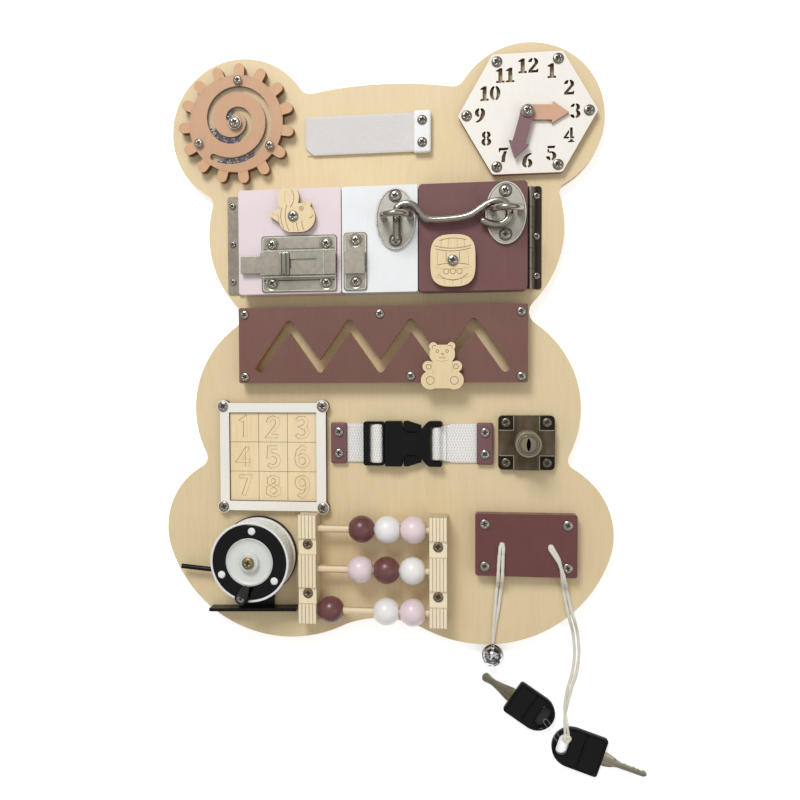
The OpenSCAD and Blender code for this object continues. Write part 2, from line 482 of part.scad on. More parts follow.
module bear_solid() {
    translate([0, 0, T + 0.6]) cylinder(r = 5, h = 3.2);
    translate([0, 0, T + 3.7]) cylinder(r = 2.6, h = maze_t - 3);
    translate([0, 0, T + maze_t + 0.6]) linear_extrude(4.5) {
        rrect(-9, 3, 9.4, 16.4, 6);
        for (s = [-1, 1]) {
            translate([0.2 + s * 6.6, 15.4]) circle(r = 2.9);
            translate([0.2 + s * 10.3, 0.6]) circle(r = 4.1);
            translate([0.2 + s * 8.8, -9.4]) circle(r = 6.8);
        }
        translate([-10.8, -15.4]) square([22, 19.6]);
    }
}

// ---------- number puzzle ----------
module number_frame() color("white") translate([tiles_c[0], tiles_c[1], T]) difference() {
    linear_extrude(6) difference() {
        union() {
            translate([-41.6, -41.6]) square(83.2);
            for (x = [-38.8, 38.8], y = [-38.8, 38.8]) translate([x, y]) circle(r = 5);
        }
        translate([-34.2, -34.2]) square(68.4);
    }
    for (x = [-39, 39], y = [-38.8, 38.8]) translate([x, y, -1]) cylinder(r = 1.6, h = 9);
}
module number_tiles() color("wheat") for (i = [0:8])
    translate([tiles_c[0] + (i % 3 - 1) * 22.7, tiles_c[1] - (floor(i / 3) - 1) * 22.7, T]) difference() {
        translate([-11.2, -11.2, 0]) cube([22.4, 22.4, 4]);
        translate([0, 0, 3.5]) linear_extrude(2) scale([1.18, 1]) line_digit(i + 1, 15, 2.9);
    }

// ---------- buckle strap ----------
wy0 = -85.6;   wy1 = -56.4;   wyc = -71;
module clamp_plate(x0, x1) { rbox(x0, -86.6, x1, -55.4, T + 1.8, T + 4.8, 2.4); }
module webbing_clamps() color("rosybrown") difference() {
    union() { clamp_plate(-38.8, -26.6); clamp_plate(71, 83.2); }
    shanks(web_s);
}
module loop(x, s, i = 0) {
    // strap end that goes round a cross bar
    difference() {
        union() {
            translate([x, wy0 + i, T + 5]) rotate([-90, 0, 0]) cylinder(r = 3.4, h = wy1 - wy0 - 2 * i);
            if (s < 0) box(x - 6, wy0 + i, T + 0.2, x, wy1 - i, T + 2);
            else box(x, wy0 + i, T + 0.2, x + 6, wy1 - i, T + 2);
        }
        translate([x, wy0 - 1, T + 5]) rotate([-90, 0, 0]) cylinder(r = 1.7, h = 40);
    }
}
module webbing_left() color("lavender") difference() {
    union() { box(-38.2, wy0, T, -7, wy1, T + 1.8); loop(-2.5, -1); }
    shanks(web_s);
}
module webbing_right() color("lavender") difference() {
    union() { box(46.2, wy0, T, 82.6, wy1, T + 1.8); loop(41.4, 1, 2.4); }
    shanks(web_s);
}
module bar(x, h) { translate([x, wyc - h, T + 5]) rotate([-90, 0, 0]) cylinder(r = 1.6, h = 2 * h); }
module buckle_male() color("dimgray") {
    // frame with a flat bar over the strap and a round bar inside the loop
    bar(-2.5, 15.4);
    difference() {
        rbox(-13.4, wyc - 16.6, 2.4, wyc + 16.6, T + 1.2, T + 8.6, 2);
        box(-8.8, wyc - 15, T + 1, 1.3, wyc + 15, T + 9);
        box(-14, wyc - 15, T + 1, -8, wyc + 15, T + 4.8);
    }
    box(2.3, wyc - 2.4, T + 3.2, 26, wyc + 2.4, T + 6.6);
    for (s = [-1, 1]) {
        box(2.3, wyc + (s > 0 ? 9 : -12.6), T + 3, 30, wyc + (s > 0 ? 12.6 : -9), T + 6.8);
        translate([0, 0, T + 3]) linear_extrude(3.8)
            polygon([[17, wyc + s * 12.5], [17, wyc + s * 17], [20, wyc + s * 17.2], [30, wyc + s * 14], [30, wyc + s * 12.5]]);
    }
}
FB = [[2.9, 16], [3.8, 17], [15.2, 17], [15.9, 16.2], [16.1, 12.6], [17.2, 9.8], [19.6, 8.5], [25, 8.2], [28, 9], [30.6, 11.2], [33, 14.4],
    [35, 16.4], [37, 17], [44.4, 17], [45.6, 16], [45.6, 13.8], [44.8, 13.2], [40, 13.2], [39.4, 12.6]];
module female_2d() translate([0, wyc]) polygon(concat(FB, [for (i = [len(FB) - 1:-1:0]) [FB[i][0], -FB[i][1]]]));
module buckle_female() color("dimgray") {
    difference() {
        translate([0, 0, T + 0.6]) linear_extrude(8.8) female_2d();
        box(2, wyc - 14, T + 2.4, 33, wyc + 14, T + 7.4);
        box(16.4, wyc - 20, T + 2.4, 32.6, wyc + 20, T + 7.4);
        box(36.6, wyc - 12.6, T - 1, 50, wyc + 12.6, T + 12);
    }
    bar(41.4, 14.6);
}

// ---------- lock ----------
module lock_case() color("slategray") translate([lock_c[0], lock_c[1], T]) difference() {
    union() {
        translate([0, 0, 0]) linear_extrude(5) rrect(-20.5, -20.1, 20.5, 20.1, 3.2);
        box(-20.5, -9.6, 4.9, 20.5, 9.6, 8);
        box(-9.6, -20.1, 4.9, 9.6, 20.1, 8);
        translate([0.4, 0.6, 7.9]) cylinder(r = 9.2, h = 23.1);
    }
    box(-9.3, -8, 1.4, 9.3, 30, 5.4);
    translate([0.4, 0.6, 3]) cylinder(r = 6.56, h = 30);
    for (x = [-14.8, 14.8], y = [-14.8, 14.8]) translate([x, y, -1]) cylinder(r = 1.6, h = 9);
}
module lock_plug() color("silver") translate([lock_c[0] + 0.4, lock_c[1] + 0.6, T]) difference() {
    translate([0, 0, 5.8]) cylinder(r = 6.5, h = 25.6);
    translate([0, 0, 14]) linear_extrude(20) intersection() {
        translate([7.6, 0]) circle(r = 9);
        translate([-7.6, 0]) circle(r = 9);
    }
}
module lock_bolt() color("silver") translate([lock_c[0], lock_c[1], T]) box(-9, -7.4, 1.8, 9, 19.8, 5);

// ---------- fishing reel ----------
module reel_frame() color("dimgray") translate([reel_c[0], reel_c[1], T]) difference() {
    union() {
        cylinder(r = 9, h = 1.6);
        translate([0, 0, 1.5]) cylinder(r = 30, h = 2.6);
        box(-16, -40.9, 1.5, 12, -24, 4.1);
        translate([-3.2, -41, 0]) rotate(2) box(-34.4, -1.2, 1.5, 34.4, 1.2, 13);
        translate([-60.7, -9.6, 8]) rotate([0, 90, -4.8]) cylinder(r = 1.9, h = 29);
        box(-33.4, -14.8, 1.5, -30.4, -9.2, 10.4);
        box(-33.4, -14.8, 1.5, -25, -9.2, 4.1);
    }
    translate([0, 0, -1]) cylinder(r = 2.5, h = 8);
    translate([-37, -6, 8]) rotate([90, 0, 0]) cylinder(r = 0.9, h = 12);
}
module reel_spool() color("white") translate([reel_c[0], reel_c[1], T]) {
    difference() {
        union() {
            translate([0, 0, 4.6]) cylinder(r = 29.4, h = 1.6);
            translate([0, 0, 6.1]) cylinder(r = 25, h = 24);
            translate([0, 0, 30]) cylinder(r = 30, h = 3);
            translate([0, 0, 32.9]) cylinder(r = 7.6, h = 2.7);
            for (a = [84, 204, 324]) rotate(a) translate([23.2, 0, 32.9]) cylinder(r = 2.8, h = 1.2);
        }
        translate([0, 0, 31.4]) difference() { cylinder(r = 17, h = 5); translate([0, 0, -1]) cylinder(r = 7.5, h = 9); }
        translate([0, 0, 4]) cylinder(r = 2.56, h = 40);
        rotate(reel_a) translate([26.6, 0, 29.9]) cylinder(r = 2.06, h = 20);
    }
    // wound line
    translate([0, 0, 7]) difference() { cylinder(r = 28, h = 22.4); translate([0, 0, -1]) cylinder(r = 25, h = 25); }
}
module reel_knob() color("dimgray") translate([reel_c[0], reel_c[1], T]) rotate(reel_a) translate([26.6, 0, 0]) {
    translate([0, 0, 30.2]) cylinder(r = 2, h = 4);
    translate([0, 0, 33.4]) cylinder(r = 3.4, h = 3);
    translate([0, 0, 36.3]) cylinder(r1 = 4.2, r2 = 5.2, h = 6);
}

// ---------- bead frame ----------
ROWS = [-134.8, -165.4, -196.6];
bz = T + 14;
module post_2d(x0, x1) {
    difference() {
        translate([x0, -206]) square([x1 - x0, 81.9]);
        for (i = [1:4]) translate([x0 + i * (x1 - x0) / 5 - 0.4, -210]) square([0.8, 1.2]);
    }
}
module bead_posts() color("wheat") difference() {
    union() {
        translate([0, 0, T]) linear_extrude(22) post_2d(-61.6, -47.8);
        translate([0, 0, T]) linear_extrude(22) post_2d(36.6, 49.8);
    }
    for (s = post_s) box(s[0] - 8.2, s[1] - 8, T + 20, s[0] + 8.2, s[1] + 4.6, T + 24);
    for (s = [-61.6, 36.6], i = [1:4]) box(s + i * 2.7 - 0.3, -207, T + 21.2, s + i * 2.7 + 0.3, -120, T + 23);
    for (y = ROWS) translate([-56, y, bz]) rotate([0, 90, 0]) cylinder(r = 2.9, h = 100);
    shanks(post_s);
    // room for the number frame's corner
    translate([tiles_c[0] + 38.8, tiles_c[1] - 38.8, T - 1]) cylinder(r = 5.4, h = 9);
}
module bead_rods() color("burlywood") for (y = ROWS)
    translate([-56, y, bz]) rotate([0, 90, 0]) cylinder(r = 2.9, h = 100);
// turned from a half disc, so that the hole is a true bore
module bead(x, row) translate([x, ROWS[row], bz]) rotate([0, 90, 0]) rotate_extrude() intersection() {
    circle(r = bead_d / 2);
    translate([2.96, -9.4]) square([12, 18.8]);
}
module bead_1_left() color("rosybrown") bead(-14.2, 0);
module bead_1_middle() color("white") bead(5.2, 0);
module bead_1_right() color("mistyrose") bead(24.6, 0);
module bead_2_left() color("mistyrose") bead(-15.2, 1);
module bead_2_middle() color("rosybrown") bead(4.4, 1);
module bead_2_right() color("white") bead(23.9, 1);
module bead_3_left() color("rosybrown") bead(-37.8, 2);
module bead_3_middle() color("white") bead(4.2, 2);
module bead_3_right() color("mistyrose") bead(24, 2);

// ---------- pull cords ----------
module cord_plate() color("rosybrown") difference() {
    rbox(70, -168.4, 143.8, -122.2, T, T + 10, 2);
    shanks(cord_s);
    for (p = [[89.6, -145.6], [124.8, -146.4]]) translate([p[0], p[1], T + 3]) cylinder(r = 2.6, h = 10);
}
// rings between the corners of a route are laid by straight division
function between(p, n) = concat([for (i = [0:len(p) - 2], k = [0:n - 1]) p[i] + (p[i + 1] - p[i]) * k / n], [p[len(p) - 1]]);
BELL_ROUTE = [[89.6, -145.6, 17], [89.5, -146.4, 20], [89.3, -149, 21.8], [88.8, -156, 21.8], [88.4, -166, 21.8],
    [88.2, -170.6, 20.6], [88, -173.6, 17], [87.8, -177, 13], [87.2, -182, 11.8], [86, -194, 11.8], [84.4, -207, 11.8],
    [83.4, -218, 11.8], [83.1, -222.6, 12.6], [83, -224.6, 13.4]];
KEY_ROUTE = [[124.8, -146.4, 17], [125.2, -147.2, 20], [126.4, -149, 21.8], [130.4, -156, 21.8], [133, -165, 21.8],
    [133.9, -170.6, 20.6], [134.6, -173.6, 17], [135.2, -177, 13], [136, -181, 11.8], [138, -190, 11.8],
    [139.8, -198, 11.9], [141.4, -203, 10.6], [142.8, -208, 6], [144, -213, 2.4], [145, -222, 1.8],
    [145.2, -232, 1.8], [143.6, -244, 1.8], [140.2, -256, 1.8], [138.2, -265, 1.8], [137.4, -271, 1.8], [137.1, -275, 1.9],
    [137.1, -277.5, 2.6], [137.1, -280, 4.4], [137.2, -282.5, 6.2], [137.4, -285, 6.9], [137.8, -289, 7], [138.2, -292.4, 6.9]];
module bell_cord() color("beige") tube3(between(BELL_ROUTE, 1), cord_d / 2, 8);
module key_cord() color("beige") tube3(between(KEY_ROUTE, 1), cord_d / 2, 8);
bell_c = [82.9, -231.4, 8.3];
module bell() color("silver") translate(bell_c) {
    difference() {
        sphere(r = 8.2);
        sphere(r = 7.3);
        rotate([-52, 0, 0]) { translate([-10, -0.8, -10]) cube([20, 1.6, 9]); translate([-0.8, -10, -10]) cube([1.6, 20, 9]); }
    }
    // lug and loose ball
    rotate([-52, 0, 0]) translate([0, 0, 7.8]) difference() {
        translate([-0.7, -2.4, 0]) cube([1.4, 4.8, 3.8]);
        translate([-2, 0, 2]) rotate([0, 90, 0]) cylinder(r = 1, h = 4);
    }
    translate([0, 0, -4.2]) sphere(r = 2.6);
}
module key(hx, hy, a, w, l, bl) {
    // the middle of the head's long hole sits at the origin, 8 from the round end; the blade runs out along +X
    e = l - 8;
    translate([hx, hy, 0]) rotate(a) difference() {
        union() {
            translate([0, 0, 0.2]) linear_extrude(4.4) {
                translate([w / 2 - 8, 0]) circle(r = w / 2);
                translate([w / 2 - 8, -w / 2]) square([e - 2 - w / 2 + 8, w]);
                translate([e - 3, 2 - w / 2]) square([3, w - 4]);
                for (s = [-1, 1]) translate([e - 2, s * (w / 2 - 2)]) circle(r = 2);
            }
            // raised rim
            translate([0, 0, 3]) linear_extrude(2.2) difference() {
                union() { translate([w / 2 - 8, 0]) circle(r = w / 2); translate([w / 2 - 8, -w / 2]) square([e - 2 - w / 2 + 8, w]); }
                translate([w / 2 - 8, 0]) circle(r = w / 2 - 1.8);
                translate([w / 2 - 8, 1.8 - w / 2]) square([e, w - 3.6]);
            }
            translate([e - 16, 3 - w / 2, 4]) cube([1.2, w - 6, 1]);
            translate([e - 1, 0, 1.6]) linear_extrude(2.2)
                polygon([[0, -5.2], [3, -5.2], [8, -3.2], [bl, -2.9], [bl + 0.8, -1.8], [bl + 0.8, 1.8], [bl, 2.9], [8, 3.2], [3, 5.2], [0, 5.2]]);
        }
        translate([0, 0, -1]) linear_extrude(9) {
            for (s = [-1, 1]) translate([0, s * 4]) circle(r = 4);
            translate([-4, -4]) square(8);
        }
    }
}
module keys() color("dimgray") {
    key(135.2, -298.4, -18, 30.4, 38.7, 34);
    key(120.6, -278.4, 146.5, 26.8, 35.6, 27);
    // wire link through both heads
    translate([127.9, -288.4, 5.5]) rotate(-53.9) {
        for (y = [-1.7, 1.7]) translate([-11, y, 0]) rotate([0, 90, 0]) cylinder(r = 0.6, h = 22);
        for (x = [-11, 11]) translate([x, -1.7, 0]) rotate([-90, 0, 0]) cylinder(r = 0.6, h = 3.4);
        for (x = [-11, 11], y = [-1.7, 1.7]) translate([x, y, 0]) sphere(r = 0.64);
    }
}

base_board();
board_screws();
clock_dial();
strap_clamp();
strap_base();
door_block();
hinge_leaves_fixed();
bolt_keeper();
hook_eye_left();
maze_panel();
number_frame();
number_tiles();
webbing_clamps();
webbing_left();
webbing_right();
buckle_male();
lock_case();
reel_frame();
bead_posts();
bead_rods();
cord_plate();
bell_cord();
key_cord();
bell();
keys();
gear_plate();
gear_back();
gear_cover();
gear_seeds();
gear_screws();
hour_hand();
minute_hand();
strap_flap();
left_door();
left_hinge_leaf();
bolt_guide();
left_door_screws();
bolt_bar();
bee_piece();
right_door();
right_hinge_leaf();
hook_eye_right();
right_door_screws();
honey_barrel();
hook_rod();
maze_bear();
buckle_female();
lock_plug();
lock_bolt();
reel_spool();
reel_knob();
bead_1_left();
bead_1_middle();
bead_1_right();
bead_2_left();
bead_2_middle();
bead_2_right();
bead_3_left();
bead_3_middle();
bead_3_right();
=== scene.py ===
import json
import math
import random

import bmesh
import bpy
from mathutils import Matrix, Vector, noise


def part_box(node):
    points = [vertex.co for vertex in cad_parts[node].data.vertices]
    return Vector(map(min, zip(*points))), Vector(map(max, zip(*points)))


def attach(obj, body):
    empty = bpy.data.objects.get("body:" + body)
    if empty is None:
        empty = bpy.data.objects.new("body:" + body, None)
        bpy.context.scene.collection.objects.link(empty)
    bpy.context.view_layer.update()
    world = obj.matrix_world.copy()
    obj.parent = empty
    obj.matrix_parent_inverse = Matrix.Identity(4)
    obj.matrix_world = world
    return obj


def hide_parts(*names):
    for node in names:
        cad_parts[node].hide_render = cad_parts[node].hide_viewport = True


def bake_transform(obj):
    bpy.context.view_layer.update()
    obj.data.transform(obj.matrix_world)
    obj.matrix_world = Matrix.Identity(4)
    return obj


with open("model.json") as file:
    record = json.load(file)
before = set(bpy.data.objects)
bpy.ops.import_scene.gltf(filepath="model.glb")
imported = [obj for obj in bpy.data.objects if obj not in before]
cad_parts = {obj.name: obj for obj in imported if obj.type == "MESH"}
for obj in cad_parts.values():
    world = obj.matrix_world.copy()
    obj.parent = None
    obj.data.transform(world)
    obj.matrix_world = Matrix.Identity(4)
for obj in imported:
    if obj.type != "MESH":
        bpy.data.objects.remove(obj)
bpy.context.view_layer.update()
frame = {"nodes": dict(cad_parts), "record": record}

MM = 0.001
T = 10.0
F = 28.4
SC = bpy.context.scene
SC.view_settings.view_transform = "Standard"
SC.view_settings.look = "None"

# ------------------------------------------------------------------ camera
cam_data = bpy.data.cameras.new("photo_camera")
cam_data.sensor_width = 36
cam_data.lens = 40.1614
cam_data.shift_x = 0.0649
cam_data.shift_y = 0.0083
cam_data.clip_start = 0.01
cam = bpy.data.objects.new("photo_camera", cam_data)
SC.collection.objects.link(cam)
cam.matrix_world = Matrix((
    (0.988707868, -0.000394753, 0.149855249, 0.07592773),
    (-0.005273397, 0.999285528, 0.037424919, -0.01801461),
    (-0.149762955, -0.037792558, 0.987999383, 0.68311729),
    (0, 0, 0, 1)))
SC.camera = cam


# ------------------------------------------------------------------ materials
def lin(c, a=1.0):
    """sRGB 0-255 to linear RGBA."""
    out = []
    for v in c[:3]:
        v = v / 255
        out.append(v / 12.92 if v <= 0.04045 else ((v + 0.055) / 1.055) ** 2.4)
    return (*out, a)


class Mat:
    def __init__(self, name, rough=0.5, metal=0.0, **sockets):
        self.m = bpy.data.materials.new(name)
        self.m.use_nodes = True
        self.nt = self.m.node_tree
        self.nt.nodes.clear()
        self.out = self.n("ShaderNodeOutputMaterial")
        self.b = self.n("ShaderNodeBsdfPrincipled")
        self.l(self.b.outputs[0], self.out.inputs[0])
        tc = self.n("ShaderNodeTexCoord")
        self.co = tc.outputs["Object"]
        self.nrm = tc.outputs["Normal"]
        self.b.inputs["Roughness"].default_value = rough
        self.b.inputs["Metallic"].default_value = metal
        for k, v in sockets.items():
            self.b.inputs[k.replace("_", " ")].default_value = v
        self.last = None

    def n(self, kind, **kw):
        x = self.nt.nodes.new(kind)
        for k, v in kw.items():
            setattr(x, k, v)
        return x

    def l(self, a, b):
        self.nt.links.new(a, b)

    def put(self, socket, v):
        if isinstance(v, bpy.types.NodeSocket):
            self.l(v, socket)
        else:
            socket.default_value = v

    def map(self, scale, rot=(0, 0, 0), loc=(0, 0, 0), src=None):
        x = self.n("ShaderNodeMapping")
        self.l(src or self.co, x.inputs["Vector"])
        x.inputs["Scale"].default_value = scale if hasattr(scale, "__len__") else (scale,) * 3
        x.inputs["Rotation"].default_value = [math.radians(r) for r in rot]
        x.inputs["Location"].default_value = loc
        return x.outputs[0]

    def noise(self, scale, detail=3.0, rough=0.55, dist=0.0, rot=(0, 0, 0), loc=(0, 0, 0)):
        x = self.n("ShaderNodeTexNoise")
        self.l(self.map(scale, rot, loc), x.inputs["Vector"])
        x.inputs["Scale"].default_value = 1.0
        x.inputs["Detail"].default_value = detail
        x.inputs["Roughness"].default_value = rough
        x.inputs["Distortion"].default_value = dist
        return x.outputs[0]

    def voronoi(self, scale, feature="F1", rot=(0, 0, 0), randomness=1.0):
        x = self.n("ShaderNodeTexVoronoi", feature=feature)
        self.l(self.map(scale, rot), x.inputs["Vector"])
        x.inputs["Scale"].default_value = 1.0
        x.inputs["Randomness"].default_value = randomness
        return x.outputs["Distance"]

    def ramp(self, fac, *stops, mode="LINEAR"):
        x = self.n("ShaderNodeValToRGB")
        x.color_ramp.interpolation = mode
        e = x.color_ramp.elements
        while len(e) < len(stops):
            e.new(0.5)
        for i, (p, c) in enumerate(stops):
            e[i].position = p
            e[i].color = c if len(c) == 4 else (*c, 1)
        self.put(x.inputs["Fac"], fac)
        return x.outputs["Color"]

    def f(self, op, a, b=0.0, c=None, clamp=False):
        x = self.n("ShaderNodeMath", operation=op, use_clamp=clamp)
        self.put(x.inputs[0], a)
        self.put(x.inputs[1], b)
        if c is not None:
            self.put(x.inputs[2], c)
        return x.outputs[0]

    def rng(self, v, a, b, c=0.0, d=1.0, smooth=False):
        x = self.n("ShaderNodeMapRange", interpolation_type="SMOOTHSTEP" if smooth else "LINEAR")
        for s, q in zip(x.inputs[:5], (v, a, b, c, d)):
            self.put(s, q)
        return x.outputs[0]

    def mix(self, fac, a, b, blend="MIX"):
        x = self.n("ShaderNodeMix", data_type="RGBA", blend_type=blend)
        self.put(x.inputs[0], fac)
        self.put(x.inputs[6], a)
        self.put(x.inputs[7], b)
        return x.outputs[2]

    def xyz(self, src=None):
        x = self.n("ShaderNodeSeparateXYZ")
        self.l(src or self.co, x.inputs[0])
        return x.outputs

    def bump(self, h, strength, dist):
        x = self.n("ShaderNodeBump")
        x.inputs["Strength"].default_value = strength
        x.inputs["Distance"].default_value = dist
        self.l(h, x.inputs["Height"])
        if self.last:
            self.l(self.last, x.inputs["Normal"])
        self.last = x.outputs[0]
        self.l(self.last, self.b.inputs["Normal"])

    def color(self, c):
        self.put(self.b.inputs["Base Color"], c)
        self.m.diffuse_color = (0.8, 0.8, 0.8, 1)

    def rough(self, r):
        self.put(self.b.inputs["Roughness"], r)


def side_of(k, lo=0.75, hi=0.5):
    """1 on walls, 0 on faces that look up."""
    return k.rng(k.f("ABSOLUTE", k.xyz(k.nrm)[2]), lo, hi, 0, 1)


def wood(name, light, dark, edge, rough=0.55, grain=(900, 45, 900), blotch=14, edge_dark=None, burn=0.0, engrave=None, burn_col=(104, 66, 38), loc=(0, 0, 0), vary=1.0):
    """Cut plywood: faces with grain, walls with plies or a burnt skin, engraved lines darker. engrave = (z of the face, m)."""
    k = Mat(name, rough)
    g = k.noise(grain, 4, 0.6, 0.3, loc=loc)
    g2 = k.noise([x * 0.35 for x in grain], 3, 0.6, 0.6, loc=loc)
    bl = k.noise(blotch, 2, 0.5, 0.4, loc=loc)
    mixv = k.f("ADD", k.f("MULTIPLY", g, 0.45), k.f("ADD", k.f("MULTIPLY", g2, 0.35), k.f("MULTIPLY", bl, 0.35)))
    face = k.ramp(mixv, (0.38, lin(dark)), (0.56, lin([(a * 0.6 + b * 0.4) for a, b in zip(light, dark)])), (0.74, lin(light)))
    pore = k.rng(k.noise((2600, 160, 2600), 2, 0.5), 0.36, 0.3, 0, 0.16 * vary)
    face = k.mix(pore, face, lin([c * 0.72 for c in dark]))
    side = side_of(k)
    z = k.xyz()[2]
    ply = k.f("SINE", k.f("MULTIPLY", k.f("ADD", z, k.f("MULTIPLY", bl, 0.0006)), 2 * math.pi / 0.0026))
    fib = k.noise((1500, 1500, 500), 3, 0.6)
    wall = k.ramp(k.f("ADD", k.f("MULTIPLY", ply, 0.28), k.f("MULTIPLY", fib, 0.8)), (0.1, lin(edge_dark or [c * 0.78 for c in edge])), (0.75, lin(edge)))
    if burn:
        bn = k.rng(k.noise((260, 260, 700), 3, 0.6), 0.3, 0.7, 0.55, 1.0)
        wall = k.mix(k.f("MULTIPLY", bn, burn), wall, lin(burn_col))
    col = k.mix(side, face, wall)
    if engrave:
        cut = k.f("MULTIPLY", k.rng(z, engrave - 0.0001, engrave - 0.0002, 0, 1), k.rng(z, engrave - 0.0009, engrave - 0.0008, 0, 1))
        col = k.mix(k.f("MULTIPLY", cut, 0.85), col, lin(burn_col))
    k.color(col)
    k.rough(k.rng(g, 0.3, 0.7, rough - 0.06, rough + 0.08))
    k.bump(g, 0.16, 0.0002)
    k.bump(k.noise(300, 2, 0.5), 0.05, 0.0003)
    return k.m


def paint(name, c, rough=0.42, vary=8, wear=None, wall=None, bump=0.12, grain=(500, 60, 500), inner=None, coat=0.0):
    """Brushed-on wood paint: faint grain under it, small colour change, roughness change."""
    k = Mat(name, rough, Coat_Weight=coat, Coat_Roughness=0.25)
    a = k.noise(22, 3, 0.55, 0.5)
    g = k.noise(grain, 3, 0.6, 0.4)
    s = k.f("ADD", k.f("MULTIPLY", a, 0.6), k.f("MULTIPLY", g, 0.4))
    col = k.ramp(s, (0.32, lin([max(0, x - vary) for x in c])), (0.5, lin(c)), (0.7, lin([min(255, x + vary) for x in c])))
    side = side_of(k)
    if wall:
        col = k.mix(side, col, k.ramp(k.noise((900, 900, 400), 3, 0.6), (0.3, lin([x * 0.82 for x in wall])), (0.7, lin(wall))))
    if inner:
        # raw wood walls inside the box (x0, y0, x1, y1) in mm
        (x0, y0, x1, y1), ic = inner
        X = k.xyz()
        ins = k.f("MULTIPLY", k.f("MULTIPLY", k.rng(X[0], x0 * MM, x0 * MM + 0.0004), k.rng(X[0], x1 * MM, x1 * MM - 0.0004)),
                  k.f("MULTIPLY", k.rng(X[1], y0 * MM, y0 * MM + 0.0004), k.rng(X[1], y1 * MM, y1 * MM - 0.0004)))
        raw = k.ramp(k.noise((900, 900, 500), 3, 0.6), (0.3, lin([q * 0.7 for q in ic])), (0.7, lin(ic)))
        col = k.mix(k.f("MULTIPLY", side, ins), col, raw)
    if wear:
        w = k.rng(k.noise(90, 4, 0.7), 0.62, 0.72, 0, 0.35)
        col = k.mix(w, col, lin(wear))
    k.color(col)
    k.rough(k.rng(k.noise(120, 3, 0.6), 0.3, 0.7, rough - 0.07, rough + 0.1))
    k.bump(g, bump, 0.00025)
    k.bump(k.noise(1400, 2, 0.5), 0.05, 0.0001)
    return k.m


def metal(name, c, rough=0.25, brush=None, spot=0.0, hammer=0.0, dark=None, aniso=0.0, blot=28):
    k = Mat(name, rough, 1.0, Anisotropic=aniso)
    a = k.noise(blot, 3, 0.5, 0.2)
    d = dark or [x * 0.92 for x in c]
    col = k.ramp(a, (0.3, lin(d)), (0.7, lin(c)))
    if spot:
        s = k.rng(k.noise(1100, 3, 0.6), 0.33, 0.2, 0, spot)
        col = k.mix(s, col, lin([x * 0.5 for x in c]))
    k.color(col)
    k.rough(k.rng(k.noise(260, 3, 0.6), 0.3, 0.7, max(0.04, rough - 0.04), rough + 0.06))
    if brush:
        k.bump(k.noise(brush, 3, 0.7), 0.12, 0.0001)
    if hammer:
        k.bump(k.voronoi(1150, "SMOOTH_F1"), hammer, 0.0005)
        k.bump(k.noise(900, 3, 0.6), hammer * 0.5, 0.0003)
    return k.m


def plastic(name, c, rough=0.35, vary=5, bump=0.05, scale=900, coat=0.0, spec=0.5):
    k = Mat(name, rough, Coat_Weight=coat, Coat_Roughness=0.15, Specular_IOR_Level=spec)
    a = k.noise(40, 3, 0.6)
    k.color(k.ramp(a, (0.3, lin([max(0, x - vary) for x in c])), (0.7, lin([min(255, x + vary) for x in c]))))
    k.rough(k.rng(k.noise(200, 3, 0.6), 0.3, 0.7, max(0.05, rough - 0.06), rough + 0.09))
    k.bump(k.noise(scale, 2, 0.5), bump, 0.00015)
    return k.m


def weave(name, light, dark, pitch=0.0012, rough=0.9, rot=0.0, twill=False, sheen=0.25, depth=0.5, pick=1.0):
    """Woven tape or hook-and-loop cloth: threads over and under at the real pitch, with fuzz."""
    k = Mat(name, rough, Sheen_Weight=sheen, Sheen_Roughness=0.4)
    w = 2 * math.pi / pitch
    X = k.xyz(k.map(1.0, (0, 0, rot)))
    wob = k.f("MULTIPLY", k.noise(400, 2, 0.5), 0.9)
    sx = k.f("SINE", k.f("ADD", k.f("MULTIPLY", X[0], w), wob))
    sy = k.f("SINE", k.f("ADD", k.f("MULTIPLY", X[1], w * pick), wob))
    if twill:
        # herringbone: the diagonal turns round every few ridges
        zz = k.f("PINGPONG", k.f("MULTIPLY", X[1], 1 / 0.0036), 1.0)
        sx = k.f("SINE", k.f("ADD", k.f("ADD", k.f("MULTIPLY", X[0], w), k.f("MULTIPLY", zz, 2 * math.pi)), wob))
        h = k.f("ADD", k.f("MULTIPLY", sx, 0.35), k.f("MULTIPLY", sy, 0.15))
    else:
        h = k.f("MULTIPLY", k.f("MULTIPLY", sx, sy), 0.5)
    h = k.f("ADD", h, 0.5)
    fuzz = k.noise(2600, 3, 0.7)
    big = k.noise(35, 3, 0.6)
    v = k.f("ADD", k.f("MULTIPLY", h, 0.6), k.f("ADD", k.f("MULTIPLY", fuzz, 0.3), k.f("MULTIPLY", big, 0.2)))
    k.color(k.ramp(v, (0.2, lin(dark)), (0.75, lin(light))))
    k.rough(k.rng(fuzz, 0.3, 0.7, rough - 0.08, min(1.0, rough + 0.06)))
    k.bump(h, depth, 0.0003)
    k.bump(fuzz, 0.25, 0.00015)
    return k.m


